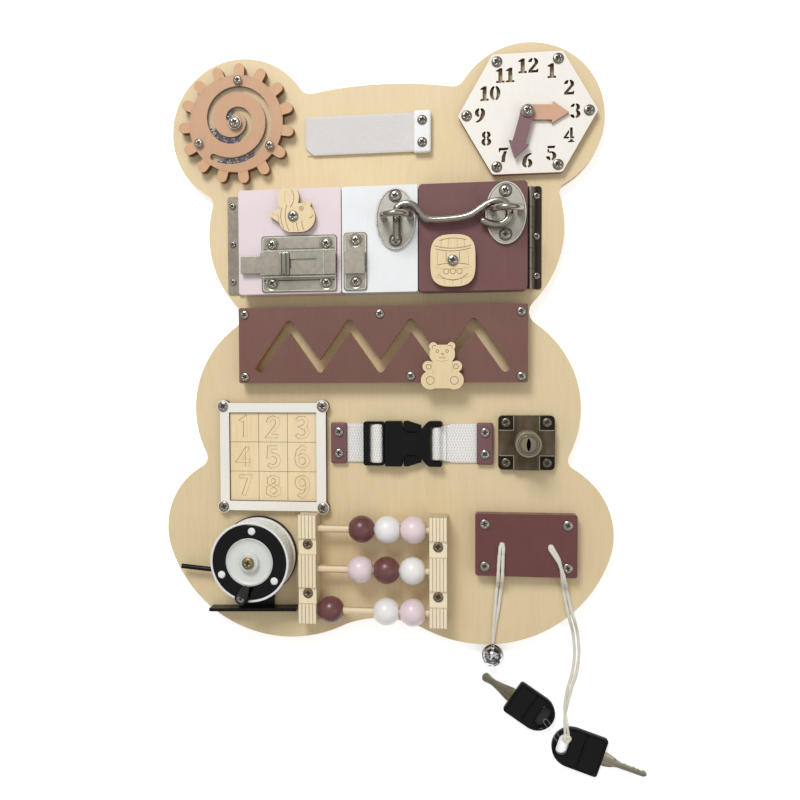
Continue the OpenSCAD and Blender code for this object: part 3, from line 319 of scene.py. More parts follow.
M = {}
M["board"] = wood("birch_board", (231, 211, 170), (221, 198, 154), (196, 172, 132), rough=0.5)
M["ply"] = wood("birch_floor", (231, 208, 164), (214, 182, 132), (150, 104, 62), rough=0.55, burn=0.75, burn_col=(98, 62, 36), loc=(0.3, 0.1, 0))
M["cut"] = wood("laser_cut_birch", (238, 217, 176), (227, 202, 158), (170, 120, 72), rough=0.5, burn=0.6, burn_col=(140, 92, 52), loc=(0.1, 0.7, 0))
M["tile"] = wood("number_tile_birch", (246, 226, 186), (234, 208, 164), (150, 108, 66), rough=0.5, burn=0.65, burn_col=(112, 76, 46), loc=(0.5, 0.2, 0))
M["engr"] = plastic("burnt_line", (170, 132, 88), 0.7)
M["engr_soft"] = plastic("burnt_line_soft", (188, 154, 108), 0.7)
M["pine"] = wood("pine_post", (250, 239, 214), (238, 219, 182), (232, 212, 174), rough=0.5, grain=(1300, 30, 1300), loc=(0.2, 0.4, 0), vary=0.5)
M["rod"] = wood("pine_rod", (240, 222, 190), (224, 198, 158), (226, 204, 166), rough=0.5, grain=(30, 1300, 1300), loc=(0.2, 0.4, 0), vary=0.6)
M["tan"] = paint("tan_paint", (206, 161, 122), 0.5, 4, wall=(106, 62, 38))
M["tan_hand"] = paint("tan_hand_paint", (208, 164, 132), 0.5, 5, wall=(150, 96, 62))
M["white"] = paint("white_paint", (243, 238, 230), 0.45, 4, wall=(150, 110, 78))
M["white_plain"] = paint("white_block_paint", (237, 240, 241), 0.45, 4)
M["white_clamp"] = plastic("white_clamp_paint", (240, 240, 240), 0.4, 3, 0.05, 500)
M["frame"] = paint("cream_frame_paint", (241, 238, 229), 0.5, 3, wall=(126, 92, 62))
M["pink"] = paint("pale_pink_paint", (231, 215, 219), 0.42, 3)
M["mauve"] = paint("mauve_door_paint", (113, 72, 72), 0.42, 4, bump=0.08)
M["maze"] = paint("mauve_maze_paint", (117, 79, 70), 0.45, 4, bump=0.08, inner=((-106, -22.6, 105.8, 29), (206, 158, 112)))
M["mauve_hand"] = paint("mauve_hand_paint", (128, 92, 98), 0.4, 5, wall=(92, 58, 56))
M["mauve_web"] = paint("mauve_clamp_paint", (118, 80, 82), 0.42, 5)
M["mauve_plate"] = paint("deep_mauve_paint", (104, 55, 55), 0.34, 4, bump=0.06, coat=0.15)
M["bead_mauve"] = paint("bead_mauve_paint", (106, 62, 62), 0.34, 6, bump=0.06, coat=0.25)
M["bead_white"] = paint("bead_white_paint", (244, 241, 240), 0.34, 3, bump=0.05, coat=0.25)
M["bead_pink"] = paint("bead_pink_paint", (236, 216, 221), 0.34, 4, bump=0.05, coat=0.25)
M["screw"] = metal("bright_screw_steel", (168, 162, 154), 0.24)
M["screw_dark"] = metal("grey_nickel_screw", (142, 135, 126), 0.22)
M["bronze"] = metal("bronze_screw", (140, 126, 102), 0.32)
# Screw recess metal: painted shade, darker than the heads, for the shade in cross slots, round screw seats and in
# grooves.
M["recess"] = metal("screw_recess", (84, 78, 70), 0.42)
M["lock_screw"] = metal("lock_screw_steel", (120, 112, 98), 0.36)
M["brass"] = metal("aged_brass_screw", (160, 144, 110), 0.4)
M["chrome"] = metal("bell_chrome", (232, 232, 234), 0.09)
M["hinge"] = metal("brushed_nickel", (184, 178, 165), 0.3, brush=(90, 2600, 2600))
M["hinge_v"] = metal("brushed_nickel_hinge", (172, 164, 150), 0.28, brush=(2600, 90, 2600), dark=(150, 142, 128))
M["cast"] = metal("cast_nickel", (192, 187, 178), 0.36, spot=0.5, hammer=0.16, dark=(172, 167, 158))
M["rodm"] = metal("polished_nickel", (172, 165, 156), 0.2)
# Bright rim metal: a painted highlight, lighter than the plate metal, for light caught on raised rims and edges.
M["painted_highlight_rim"] = metal("painted_highlight_rim", (232, 228, 218), 0.28)
# Dark line metal: painted shade, for shadows along plate edges and under the bolt housing.
M["painted_shade_line"] = metal("painted_shade_line", (92, 86, 76), 0.4)
M["lock"] = metal("antique_nickel", (56, 51, 42), 0.34, spot=0.3, dark=(38, 34, 28))
M["lock_cross"] = metal("brushed_antique", (116, 105, 86), 0.3, brush=(2600, 200, 2600), dark=(72, 63, 49), blot=(110, 46, 110))
# Worn lock edge: partly real rubbed wear on the antique finish, partly painted highlight on bevels, step edges and the
# face ring.
M["lock_edge"] = metal("worn_edge_and_highlight", (176, 167, 150), 0.3)
M["lock_cyl"] = metal("lock_cylinder", (168, 154, 136), 0.24, brush=(1200, 1200, 300), dark=(136, 124, 108))
# Cylinder walls: a lighter, less metallic copy of the cylinder metal, painted light for walls that would otherwise
# mirror the dark horizon.
k = Mat("lock_cylinder_side_painted_light", 0.46, 0.4)
k.color(k.ramp(k.noise((300, 300, 60), 3, 0.6), (0.3, lin((132, 121, 104))), (0.7, lin((176, 164, 144)))))
k.rough(k.rng(k.noise(400, 2, 0.5), 0.3, 0.7, 0.4, 0.54))
M["lock_side"] = k.m
M["key_blade"] = metal("key_nickel", (176, 170, 152), 0.28, brush=(800, 800, 300), dark=(120, 114, 96))
M["black"] = plastic("black_satin_plastic", (9, 9, 10), 0.32, 2, spec=0.2)
M["black_gloss"] = plastic("black_gloss_plastic", (5, 5, 6), 0.14, 2, 0.03, spec=0.24)
M["grey_lever"] = plastic("dark_grey_plastic", (46, 44, 44), 0.3, 5, spec=0.3)
M["dish"] = plastic("white_dish_plastic", (220, 223, 216), 0.36, 3)
M["white_pl"] = plastic("white_plastic", (238, 237, 236), 0.3, 3)
M["line"] = weave("wound_line", (250, 251, 248), (232, 234, 228), 0.0008, 0.6, sheen=0.0)
M["lilac"] = weave("hook_cloth", (232, 228, 226), (198, 192, 190), 0.0017, 0.92, sheen=0.2, depth=0.7)
M["ivory"] = weave("loop_cloth", (238, 228, 210), (206, 192, 168), 0.0009, 0.95, sheen=0.3)
M["web"] = weave("white_webbing", (248, 247, 244), (206, 202, 198), 0.0021, 0.85, twill=True, sheen=0.2, depth=0.8)
M["cord"] = weave("cream_cord", (248, 245, 234), (206, 200, 178), 0.0009, 0.85, rot=35, sheen=0.2, depth=0.6)


def glassy(name, c, alpha_lo, alpha_hi, rough=0.05, spec=0.5):
    k = Mat(name, rough, Specular_IOR_Level=spec)
    lw = k.n("ShaderNodeLayerWeight")
    lw.inputs["Blend"].default_value = 0.35
    s = k.noise(35, 3, 0.5)
    k.color(k.ramp(s, (0.3, lin([x - 6 for x in c])), (0.7, lin(c))))
    k.put(k.b.inputs["Alpha"], k.rng(lw.outputs["Facing"], 0.0, 1.0, alpha_lo, alpha_hi))
    k.rough(k.rng(k.noise(90, 3, 0.6), 0.3, 0.7, rough * 0.6, rough * 1.8))
    return k.m


# Bell chrome with painted reflection: bright and dark patches keyed to the surface normal stand in for the room
# mirrored in the bell, and walls that face sideways are darker as painted shade.
k = Mat("bell_plating_painted_reflection", 0.16, 1.0)
bn = k.noise(1.0, 2, 0.5, 0.8)
k.nt.links.remove(bn.node.inputs["Vector"].links[0])
k.l(k.map((2.3, 2.9, 2.6), (20, 40, 10), (0.4, 0.1, 0.7), k.nrm), bn.node.inputs["Vector"])
painted_reflection_col = k.ramp(bn, (0.4, lin((84, 84, 86))), (0.45, lin((164, 164, 166))), (0.53, lin((206, 206, 208))), (0.6, lin((250, 250, 252))))
k.color(k.mix(k.rng(k.xyz(k.nrm)[2], 0.55, 0.25, 0, 0.8), painted_reflection_col, lin((78, 78, 80))))
k.rough(k.rng(k.noise(900, 3, 0.6), 0.3, 0.7, 0.12, 0.22))
M["bell"] = k.m
# Right hinge metal with painted reflection: bright, dark and mid bands across the leaf stand in for light mirrored by
# the polished barrel and leaf.
k = Mat("hinge_painted_reflection_bands", 0.16, 1.0)
hx = k.f("ADD", k.xyz()[0], k.f("MULTIPLY", k.noise((40, 14, 40), 3, 0.5, 0.6), 0.006))
k.color(k.ramp(k.rng(hx, 0.1105, 0.1255), (0.12, lin((150, 142, 130))), (0.34, lin((54, 46, 40))), (0.66, lin((84, 74, 64))), (0.86, lin((190, 182, 170)))))
k.rough(k.rng(k.noise(200, 3, 0.6), 0.3, 0.7, 0.12, 0.24))
k.bump(k.noise((2600, 90, 2600), 2, 0.6), 0.08, 0.0001)
M["hinge_r"] = k.m
M["acrylic"] = glassy("clear_acrylic", (232, 226, 214), 0.012, 0.5, spec=0.12)
M["nylon"] = glassy("clear_nylon", (236, 240, 242), 0.05, 0.35, 0.12, 0.3)
for nm, c in (("seed_blue", (58, 66, 150)), ("seed_violet", (112, 104, 176)), ("seed_clear", (206, 214, 232))):
    k = Mat(nm, 0.08, Coat_Weight=0.6, Coat_Roughness=0.05, Transmission_Weight=0.25)
    k.color(k.ramp(k.noise(700, 2, 0.5), (0.3, lin([x * 0.7 for x in c])), (0.7, lin(c))))
    k.rough(k.rng(k.noise(900, 2, 0.5), 0.3, 0.7, 0.05, 0.14))
    M[nm] = k.m


# ------------------------------------------------------------------ geometry helpers
BODY_OF = {n: b for b, ns in frame["record"]["behaviour"]["bodies"].items() for n in ns}


def make(name, verts, faces, material, body, replaces=(), sharp=38, keep_free=False):
    me = bpy.data.meshes.new(name)
    me.from_pydata([(x * MM, y * MM, z * MM) for x, y, z in verts], [], faces)
    me.validate()
    return link(name, me, material, body, replaces, sharp, keep_free)


def link(name, me, material, body, replaces=(), sharp=38, keep_free=False, flat=False):
    bm = bmesh.new()
    bm.from_mesh(me)
    bmesh.ops.recalc_face_normals(bm, faces=bm.faces)
    bm.to_mesh(me)
    bm.free()
    me.materials.clear()
    for m in material if isinstance(material, (list, tuple)) else [material]:
        me.materials.append(m)
    for p in me.polygons:
        p.use_smooth = True
    me.set_sharp_from_angle(angle=math.radians(sharp))
    o = bpy.data.objects.new(name, me)
    SC.collection.objects.link(o)
    if flat:
        wm = o.modifiers.new("flat_faces", "WEIGHTED_NORMAL")
        wm.mode = "FACE_AREA"
        wm.weight = 100
        wm.keep_sharp = True
    if not keep_free:
        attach(o, body)
    if replaces:
        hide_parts(*replaces)
    return o


def remake(node, material, width=0.35, angle=30, segs=2, sharp=38, pick=None, name=None, tint=None, only=None, flat=True):
    """A copy of a CAD node's shape with its edges rounded, which stands for the node."""
    src = frame["nodes"][node]
    body = BODY_OF[node]
    bm = bmesh.new()
    bm.from_mesh(src.data)
    bmesh.ops.remove_doubles(bm, verts=bm.verts, dist=4e-6)
    if only:
        gone = [v for v in bm.verts if not only(v.co / MM)]
        bmesh.ops.delete(bm, geom=gone, context="VERTS")
    bmesh.ops.dissolve_degenerate(bm, edges=bm.edges, dist=2e-6)
    bmesh.ops.dissolve_limit(bm, angle_limit=math.radians(0.6), verts=bm.verts, edges=bm.edges)
    if width:
        lim = math.radians(angle)
        es = [e for e in bm.edges if e.is_manifold and e.calc_face_angle(0) > lim and (pick is None or pick(e))]
        if es:
            bmesh.ops.bevel(bm, geom=es, offset=width * MM, offset_type="OFFSET", segments=segs, profile=0.5, affect="EDGES", clamp_overlap=True)
    me = bpy.data.meshes.new(name or node + "_finished")
    bm.to_mesh(me)
    bm.free()
    o = link(name or node + "_finished", me, material, body, (node,), sharp, flat=flat)
    if tint:
        for p in o.data.polygons:
            p.material_index = tint(p.center / MM, p.normal)
    return o


def dress(node, material, slot=None):
    """A CAD node that stays as it is, with its material."""
    me = frame["nodes"][node].data
    me.materials.clear()
    me.materials.append(material)


def lathe(name, prof, c, material, body, replaces=(), axis="z", segs=64, sharp=38, tint=None):
    """Turned shape. prof is a list of (radius, height) in mm, open where the radius is 0."""
    vs, fs = [], []
    for r, h in prof:
        for i in range(segs):
            a = 2 * math.pi * i / segs
            x, y = r * math.cos(a), r * math.sin(a)
            vs.append((c[0] + x, c[1] + y, c[2] + h) if axis == "z" else (c[0] + h, c[1] + x, c[2] + y))
    closed = prof[0] == prof[-1]
    m = len(prof) - 1
    for j in range(m):
        j2 = (j + 1) % m if closed else j + 1
        for i in range(segs):
            i2 = (i + 1) % segs
            a, b, d, e = j * segs + i, j * segs + i2, j2 * segs + i2, j2 * segs + i
            fs.append((a, b, d, e))
    if closed:
        vs = vs[: m * segs]
    me = bpy.data.meshes.new(name)
    me.from_pydata([tuple(q * MM for q in v) for v in vs], [], fs)
    bm = bmesh.new()
    bm.from_mesh(me)
    bmesh.ops.remove_doubles(bm, verts=bm.verts, dist=1e-6)
    bmesh.ops.dissolve_degenerate(bm, edges=bm.edges, dist=1e-7)
    bm.to_mesh(me)
    bm.free()
    o = link(name, me, material, body, replaces, sharp)
    if tint:
        for p in o.data.polygons:
            p.material_index = tint(p.center / MM, p.normal)
    return o


def catmull(pts, n):
    """Smooth curve through 3-D points, n steps a span."""
    P = [Vector(p) for p in pts]
    P = [P[0] * 2 - P[1]] + P + [P[-1] * 2 - P[-2]]
    out = []
    for i in range(1, len(P) - 2):
        a, b, c, d = P[i - 1: i + 3]
        for k in range(n):
            t = k / n
            out.append(0.5 * ((2 * b) + (c - a) * t + (2 * a - 5 * b + 4 * c - d) * t * t + (3 * b - a - 3 * c + d) * t ** 3))
    out.append(P[-2])
    return out


def tube(path, radius, segs=14, start=None, cap=True):
    """Vertices and faces of a round tube; radius is a number or a function of the share along."""
    n = len(path)
    vs, fs = [], []
    up = Vector((0, 0, 1))
    prev = None
    L = [0.0]
    for i in range(1, n):
        L.append(L[-1] + (path[i] - path[i - 1]).length)
    rings = []
    for i in range(n):
        t = (path[min(i + 1, n - 1)] - path[max(i - 1, 0)]).normalized()
        if prev is None:
            s = t.cross(up if abs(t.z) < 0.9 else Vector((1, 0, 0))).normalized()
        else:
            s = (prev - t * prev.dot(t)).normalized()
        prev = s
        u = t.cross(s)
        r = radius(L[i] / L[-1]) if callable(radius) else radius
        rings.append((path[i], s, u, t, r))
    base = []
    if cap:
        p, s, u, t, r = rings[0]
        for a in (80, 55, 28):
            base.append((p - t * r * math.sin(math.radians(a)), s, u, t, r * math.cos(math.radians(a))))
    full = base + rings
    if cap:
        p, s, u, t, r = rings[-1]
        for a in (28, 55, 80):
            full.append((p + t * r * math.sin(math.radians(a)), s, u, t, r * math.cos(math.radians(a))))
    for p, s, u, t, r in full:
        for k in range(segs):
            a = 2 * math.pi * k / segs
            vs.append(p + (s * math.cos(a) + u * math.sin(a)) * r)
    m = len(full)
    for i in range(m - 1):
        for k in range(segs):
            k2 = (k + 1) % segs
            fs.append((i * segs + k, i * segs + k2, (i + 1) * segs + k2, (i + 1) * segs + k))
    fs.append(tuple(range(segs))[::-1])
    fs.append(tuple((m - 1) * segs + k for k in range(segs)))
    return [tuple(v) for v in vs], fs


def merge(parts):
    vs, fs = [], []
    for v, f in parts:
        o = len(vs)
        vs += list(v)
        fs += [tuple(i + o for i in q) for q in f]
    return vs, fs


def slab(xs, ys, top, z0, rim=0.8, side_inset=None):
    """Closed block over a grid whose upper side is top(x, y); its rim is rounded by rim mm."""
    nx, ny = len(xs), len(ys)
    vs, fs = [], []
    x0, x1, y0, y1 = xs[0], xs[-1], ys[0], ys[-1]

    def drop(x, y):
        d = min(x - x0, x1 - x, y - y0, y1 - y)
        if d >= rim:
            return 0.0
        q = 1 - d / rim
        return rim * (1 - math.sqrt(max(0.0, 1 - q * q)))
    for y in ys:
        for x in xs:
            vs.append((x, y, top(x, y) - drop(x, y)))
    for j in range(ny - 1):
        for i in range(nx - 1):
            a = j * nx + i
            fs.append((a, a + 1, a + nx + 1, a + nx))
    n0 = len(vs)
    for y in ys:
        for x in xs:
            vs.append((x, y, z0))
    for j in range(ny - 1):
        for i in range(nx - 1):
            a = n0 + j * nx + i
            fs.append((a, a + nx, a + nx + 1, a + 1))
    edge = [i for i in range(nx)] + [j * nx + nx - 1 for j in range(1, ny)] + [(ny - 1) * nx + i for i in range(nx - 2, -1, -1)] + [j * nx for j in range(ny - 2, 0, -1)]
    for a, b in zip(edge, edge[1:] + edge[:1]):
        fs.append((a, n0 + a, n0 + b, b))
    return vs, fs


def lin_steps(a, b, step, extra=()):
    n = max(1, int(round((b - a) / step)))
    out = {round(a + (b - a) * i / n, 4) for i in range(n + 1)}
    for e in extra:
        if a < e < b:
            out.add(round(e, 4))
    return sorted(out)


def ribbon(pts, w, z, h=0.06, closed=False):
    """Flat line of width w along 2-D points, a little proud of z."""
    P = [Vector((p[0], p[1])) for p in pts]
    n = len(P)
    vs, fs = [], []
    for i in range(n):
        a = P[(i - 1) % n] if closed or i > 0 else P[i]
        b = P[(i + 1) % n] if closed or i < n - 1 else P[i]
        t = (b - a)
        if t.length < 1e-9:
            t = Vector((1, 0))
        t.normalize()
        m = Vector((-t.y, t.x)) * w / 2
        for s in (1, -1):
            q = P[i] + m * s
            vs.append((q.x, q.y, z + h))
            vs.append((q.x, q.y, z - 0.3))
    k = n if closed else n - 1
    for i in range(k):
        a, b = 4 * i, 4 * ((i + 1) % n)
        fs += [(a, b, b + 2, a + 2), (a, a + 1, b + 1, b), (a + 2, b + 2, b + 3, a + 3), (a + 1, a + 3, b + 3, b + 1)]
    if not closed:
        fs += [(0, 2, 3, 1), (4 * n - 4, 4 * n - 3, 4 * n - 1, 4 * n - 2)]
    return vs, fs


def screw_mesh(x, y, z, r, h=1.6, ang=0.0, tilt=0.0, cross=0.62, slot_w=0.24, depth=0.9):
    """Domed head with a cross recess: z is the face under the head."""
    rings = [0.0, 0.1, 0.2, 0.28, 0.36, 0.44, 0.52, 0.6, 0.68, 0.76, 0.84, 0.91, 0.96, 1.0]
    segs = 40
    vs, fs = [], []
    ca, sa = math.cos(ang), math.sin(ang)
    L, W = cross * r, slot_w * r

    def top(px, py):
        rr = math.hypot(px, py) / r
        hh = h * (0.34 + 0.66 * math.sqrt(max(0.0, 1 - rr * rr * 0.98)))
        if rr > 0.965:
            hh = h * 0.3
        qx, qy = abs(px * ca + py * sa), abs(-px * sa + py * ca)
        a, b = max(qx, qy), min(qx, qy)
        ins = min((L - a) / (0.14 * r), (W * (1 - 0.35 * a / L) - b) / (0.1 * r))
        if ins > 0:
            hh -= depth * min(1.0, ins) * (1 - 0.55 * a / L)
        return hh
    vs.append((x, y, z + top(0, 0)))
    for q in rings[1:]:
        for i in range(segs):
            a = 2 * math.pi * i / segs
            px, py = q * r * math.cos(a), q * r * math.sin(a)
            vs.append((x + px, y + py, z + top(px, py)))
    base = len(vs)
    for i in range(segs):
        a = 2 * math.pi * i / segs
        vs.append((x + r * math.cos(a), y + r * math.sin(a), z - 0.05))
    for i in range(segs):
        i2 = (i + 1) % segs
        fs.append((0, 1 + i, 1 + i2))
        for j in range(len(rings) - 2):
            a, b = 1 + j * segs + i, 1 + j * segs + i2
            fs.append((a, a + segs, b + segs, b))
        a, b = 1 + (len(rings) - 2) * segs + i, 1 + (len(rings) - 2) * segs + i2
        fs.append((a, base + i, base + i2, b))
    fs.append(tuple(base + i for i in range(segs))[::-1])
    return vs, fs


def screws(name, rows, material, body, slot, replaces=(), **kw):
    """rows of (x, y, z, r)."""
    rnd = random.Random(name)
    angs = [rnd.uniform(0, math.pi / 2) for q in rows]
    parts = [screw_mesh(x, y, z, r, ang=a, **kw) for (x, y, z, r), a in zip(rows, angs)]
    v, f = merge(parts)
    per = len(parts[0][1])
    o = make(name, v, f, [material, M["recess"]], body, replaces, sharp=60)
    for i, p in enumerate(o.data.polygons):
        (x, y, z, r), a = rows[i // per], angs[i // per]
        dx, dy = p.center.x / MM - x, p.center.y / MM - y
        qx, qy = abs(dx * math.cos(a) + dy * math.sin(a)), abs(-dx * math.sin(a) + dy * math.cos(a))
        # faces in the cross slot take the darker recess metal: painted shade
        if max(qx, qy) < 0.5 * r and min(qx, qy) < 0.12 * r and p.normal.z > 0.2:
            p.material_index = 1
    return o


# ------------------------------------------------------------------ cords
BELL_ROUTE = [[89.6, -145.6, 17], [89.5, -146.4, 20], [89.3, -149, 21.8], [88.8, -156, 21.8], [88.4, -166, 21.8], [88.2, -170.6, 20.6], [88, -173.6, 17],
              [87.8, -177, 13], [87.2, -182, 11.8], [86, -194, 11.8], [84.4, -207, 11.8], [83.4, -218, 11.8], [83.1, -222.6, 12.6], [83, -224.6, 13.4]]
KEY_ROUTE = [[124.8, -146.4, 17], [125.2, -147.2, 20], [126.4, -149, 21.8], [130.4, -156, 21.8], [133, -165, 21.8], [133.9, -170.6, 20.6], [134.6, -173.6, 17],
             [135.2, -177, 13], [136, -181, 11.8], [138, -190, 11.8], [139.8, -198, 11.9], [141.4, -203, 10.6], [142.8, -208, 6], [144, -213, 2.4], [145, -222, 1.8],
             [145.2, -232, 1.8], [143.6, -244, 1.8], [140.2, -256, 1.8], [138.2, -265, 1.8], [137.4, -271, 1.8], [137.1, -275, 1.9],
             [137.1, -277.5, 2.6], [137.1, -280, 4.4], [137.2, -282.5, 6.2], [137.4, -285, 6.9], [137.8, -289, 7], [138.2, -292.4, 6.9]]


def strand_pair(route, name, node, spread, turns):
    """Two soft strands side by side that turn round each other slowly."""
    path = catmull(route, 6)
    n = len(path)
    L = [0.0]
    for i in range(1, n):
        L.append(L[-1] + (path[i] - path[i - 1]).length)
    a, b = [], []
    for i in range(n):
        t = (path[min(i + 1, n - 1)] - path[max(i - 1, 0)]).normalized()
        s = t.cross(Vector((0, 0, 1))) if abs(t.z) < 0.95 else Vector((1, 0, 0))
        s.normalize()
        u = s.cross(t)
        q = L[i] / L[-1]
        ang = turns(q) * 2 * math.pi
        w = spread(q)
        off = s * math.cos(ang) * w + u * math.sin(ang) * min(w, 0.55)
        a.append(path[i] + off)
        b.append(path[i] - off)
    r = lambda q: 1.28 + 0.07 * math.sin(q * 90) + 0.05 * math.sin(q * 37 + 1) - 0.3 * max(0.0, (q - 0.9) / 0.1)
    v, f = merge([tube(a, r, 10), tube(b, r, 10)])
    o = make(name, v, f, M["cord"], "board", (node,))
    return o


for cn, cx_, cy_, tilt in (("bell", 89.6, -145.5, 0.0), ("key", 124.85, -146.3, 0.3)):
    vs, fs = [], []
    for j, (r_, z_) in enumerate(((1.9, 13.4), (2.35, 13.8), (2.42, 18.6), (2.35, 19.9), (2.0, 20.7), (1.3, 21.2), (0.5, 21.4))):
        for i in range(24):
            a_ = 2 * math.pi * i / 24
            g_ = 1 - 0.1 * abs(math.cos(a_ + tilt)) ** 8
            vs.append((cx_ + r_ * g_ * math.cos(a_), cy_ + r_ * g_ * math.sin(a_), z_))
    for j in range(6):
        for i in range(24):
            fs.append((j * 24 + i, j * 24 + (i + 1) % 24, (j + 1) * 24 + (i + 1) % 24, (j + 1) * 24 + i))
    fs += [tuple(range(24))[::-1], tuple(6 * 24 + i for i in range(24))]
    make(cn + "_cord_shoulder", vs, fs, M["cord"], "board", sharp=60)


def declare_cord(route):
    route_length(route)


def route_length(r):
    p = catmull(r, 12)
    return sum((p[i + 1] - p[i]).length for i in range(len(p) - 1)) * MM


bell_cord = strand_pair(BELL_ROUTE, "bell_cord_strands", "bell_cord", lambda q: 1.2 + 0.4 * math.sin(math.pi * min(1, q * 1.2)) - 0.45 * max(0.0, (q - 0.7) / 0.3), lambda q: 0.45 * max(0.0, q - 0.45))
key_cord = strand_pair(KEY_ROUTE, "key_cord_strands", "key_cord", lambda q: 1.2 + 0.5 * math.sin(math.pi * min(1, max(0, (q - 0.25) / 0.6))),
                       lambda q: 0.5 * min(1, q / 0.25) + 0.5 * max(0.0, q - 0.78) / 0.22)

# ------------------------------------------------------------------ board
remake("base_board", M["board"], 0.7, 30, 3)

# ------------------------------------------------------------------ screws of the board
gc = (-110, 171.8)
dc = (107.4, 169.9)
tc_ = (-84.1, -82)
lc = (107.3, -69.9)
rc = (-96.2, -158.2)
steel = []
steel += [(31.2, y, T + 6.3, 3.6) for y in (168.5, 152.3)]
grey = steel
steel = []
dial_s = [(dc[0] + 43.7 * math.cos(math.radians(a)), dc[1] + 43.7 * math.sin(math.radians(a)), T + 6, 3.9) for a in range(0, 360, 60)]
maze_s = [(x, y, T + 12, 3.4) for x, y in ((-103.6, 26.7), (-0.2, 26), (103.2, 26.2), (-103.6, -20.6), (22.8, -20.4), (103.2, -20.8))]
steel += maze_s
steel += [(-17, y, F + 1, 3.6) for y in (79.5, 49.2)]
steel += [(12.4, y, F + 1.6, 3.9) for y in (110.8, 78.8)]
steel += [(x, y, T + 1.2, 2.6) for x in (-115.2, 114.4) for y in (110.8, 81.5, 52.6)]
steel += [(tc_[0] + sx * 39, tc_[1] + sy * 38.8, T + 6, 4.1) for sx in (-1, 1) for sy in (-1, 1)]
steel += [(x, y, T + 4.8, 3.6) for x in (-32.7, 77.2) for y in (-62.6, -78.8)]
steel += [(x, y, T + 10, 3.8) for x in (76.9, 136.9) for y in (-130, -161.4)]
screws("post_screw_heads", [(x, y, T + 20, 3.8) for x in (-54.3, 43.2) for y in (-146, -183)], M["bronze"], "board", "screw_steel", h=1.2)
screws("board_screw_heads", steel, M["screw"], "board", "screw_steel", ("board_screws",), h=1.75)
screws("lock_screw_heads", [(lc[0] + sx * 14.8, lc[1] + sy * 14.8, T + 5, 3.6) for sx in (-1, 1) for sy in (-1, 1)], M["lock_screw"], "board", "screw_steel", h=1.5)
screws("strap_and_clock_screw_heads", grey + dial_s, M["screw_dark"], "board", "screw_steel", h=1.6)
# pivot screws with washers and spacers
lathe("gear_pivot_washer", [(1.2, 0), (5, 0), (5.1, 0.3), (4.9, 0.8), (1.2, 0.8), (1.2, 0)], (gc[0], gc[1], T + 10.6), M["screw"], "board")
lathe("gear_pivot_spacer", [(2.4, 0), (6, 0), (6, 0.8), (2.45, 0.9), (2.45, 10.7), (0.5, 10.7), (0.5, 0), (2.4, 0)], (gc[0], gc[1], T), M["screw"], "board")
lathe("clock_pivot_washer", [(1.2, -6.6), (1.9, -6.6), (1.9, 0), (4.6, 0), (4.7, 0.3), (4.4, 0.8), (1.2, 0.8), (1.2, -6.6)], (dc[0], dc[1], T + 12.6), M["screw"], "board")
lathe("reel_pivot_washer", [(1.2, -36), (2.45, -36), (2.45, 0), (4.6, 0), (4.6, 0.6), (4.3, 0.8), (1.2, 0.8), (1.2, -36)], (rc[0], rc[1], T + 36), M["brass"], "board")
screws("gear_pivot_screw", [(gc[0], gc[1], T + 11.4, 4.2)], M["screw"], "board", "screw_steel", h=2.0)
screws("clock_pivot_screw", [(dc[0], dc[1], T + 13.4, 3.8)], M["screw"], "board", "screw_steel", h=2.0)
screws("reel_pivot_screw", [(rc[0], rc[1], T + 36.8, 4.2)], M["brass"], "board", "screw_steel", h=2.0)
screws("bolt_screw_heads", [(x, y, F + 1, 3.6) for x in (-80, -39) for y in (77.8, 48.9)], M["screw"], "left_door", "screw_steel", ("left_door_screws",), h=1.7)
screws("bee_screw", [(-62.8, 98, F + 5.6, 3.9)], M["screw"], "left_door", "screw_steel", h=1.9)
screws("right_eye_screw_heads", [(91.6, y, F + 1.6, 3.9) for y in (112, 81)], M["screw"], "right_door", "screw_steel", ("right_door_screws",), h=1.7)
screws("barrel_screw", [(54.2, 62.7, F + 5.6, 3.9)], M["screw"], "right_door", "screw_steel", h=1.9)
for nm, c, b in (("bee_spacer", (-62.8, 98), "left_door"), ("barrel_spacer", (54.2, 62.7), "right_door")):
    lathe(nm, [(1, 0), (4.4, 0), (4.4, 1.2), (1.95, 1.3), (1.95, 5.7), (1, 5.7), (1, 0)], (c[0], c[1], F), M["screw"], b)

# ------------------------------------------------------------------ bead gear
remake("gear_back", M["ply"], 0.25, 40, 2)
remake("gear_plate", M["tan"], 0.3, 40, 2)
lathe("gear_cover_disc", [(2.55, 8.3), (36.3, 8.3), (36.3, 9.9), (36.0, 10.2), (2.55, 10.2), (2.55, 8.3)], (gc[0], gc[1], T), M["acrylic"], "bead_gear", ("gear_cover",), segs=120)
screws("gear_cover_screw_heads", [(gc[0] + 32 * math.cos(math.radians(a)), gc[1] + 32 * math.sin(math.radians(a)), T + 10.2, 3.3) for a in (86, 206, 326)], M["screw"], "bead_gear", "screw_steel", ("gear_screws",), h=1.6)


def spiral(t, o=0.0):
    r, a = 4.6 + 15.5 * t + o, math.radians(152 - 360 * t)
    return gc[0] - 1.2 + r * math.cos(a), gc[1] + 2.8 + r * math.sin(a), -math.radians(360 * t) + math.radians(152)


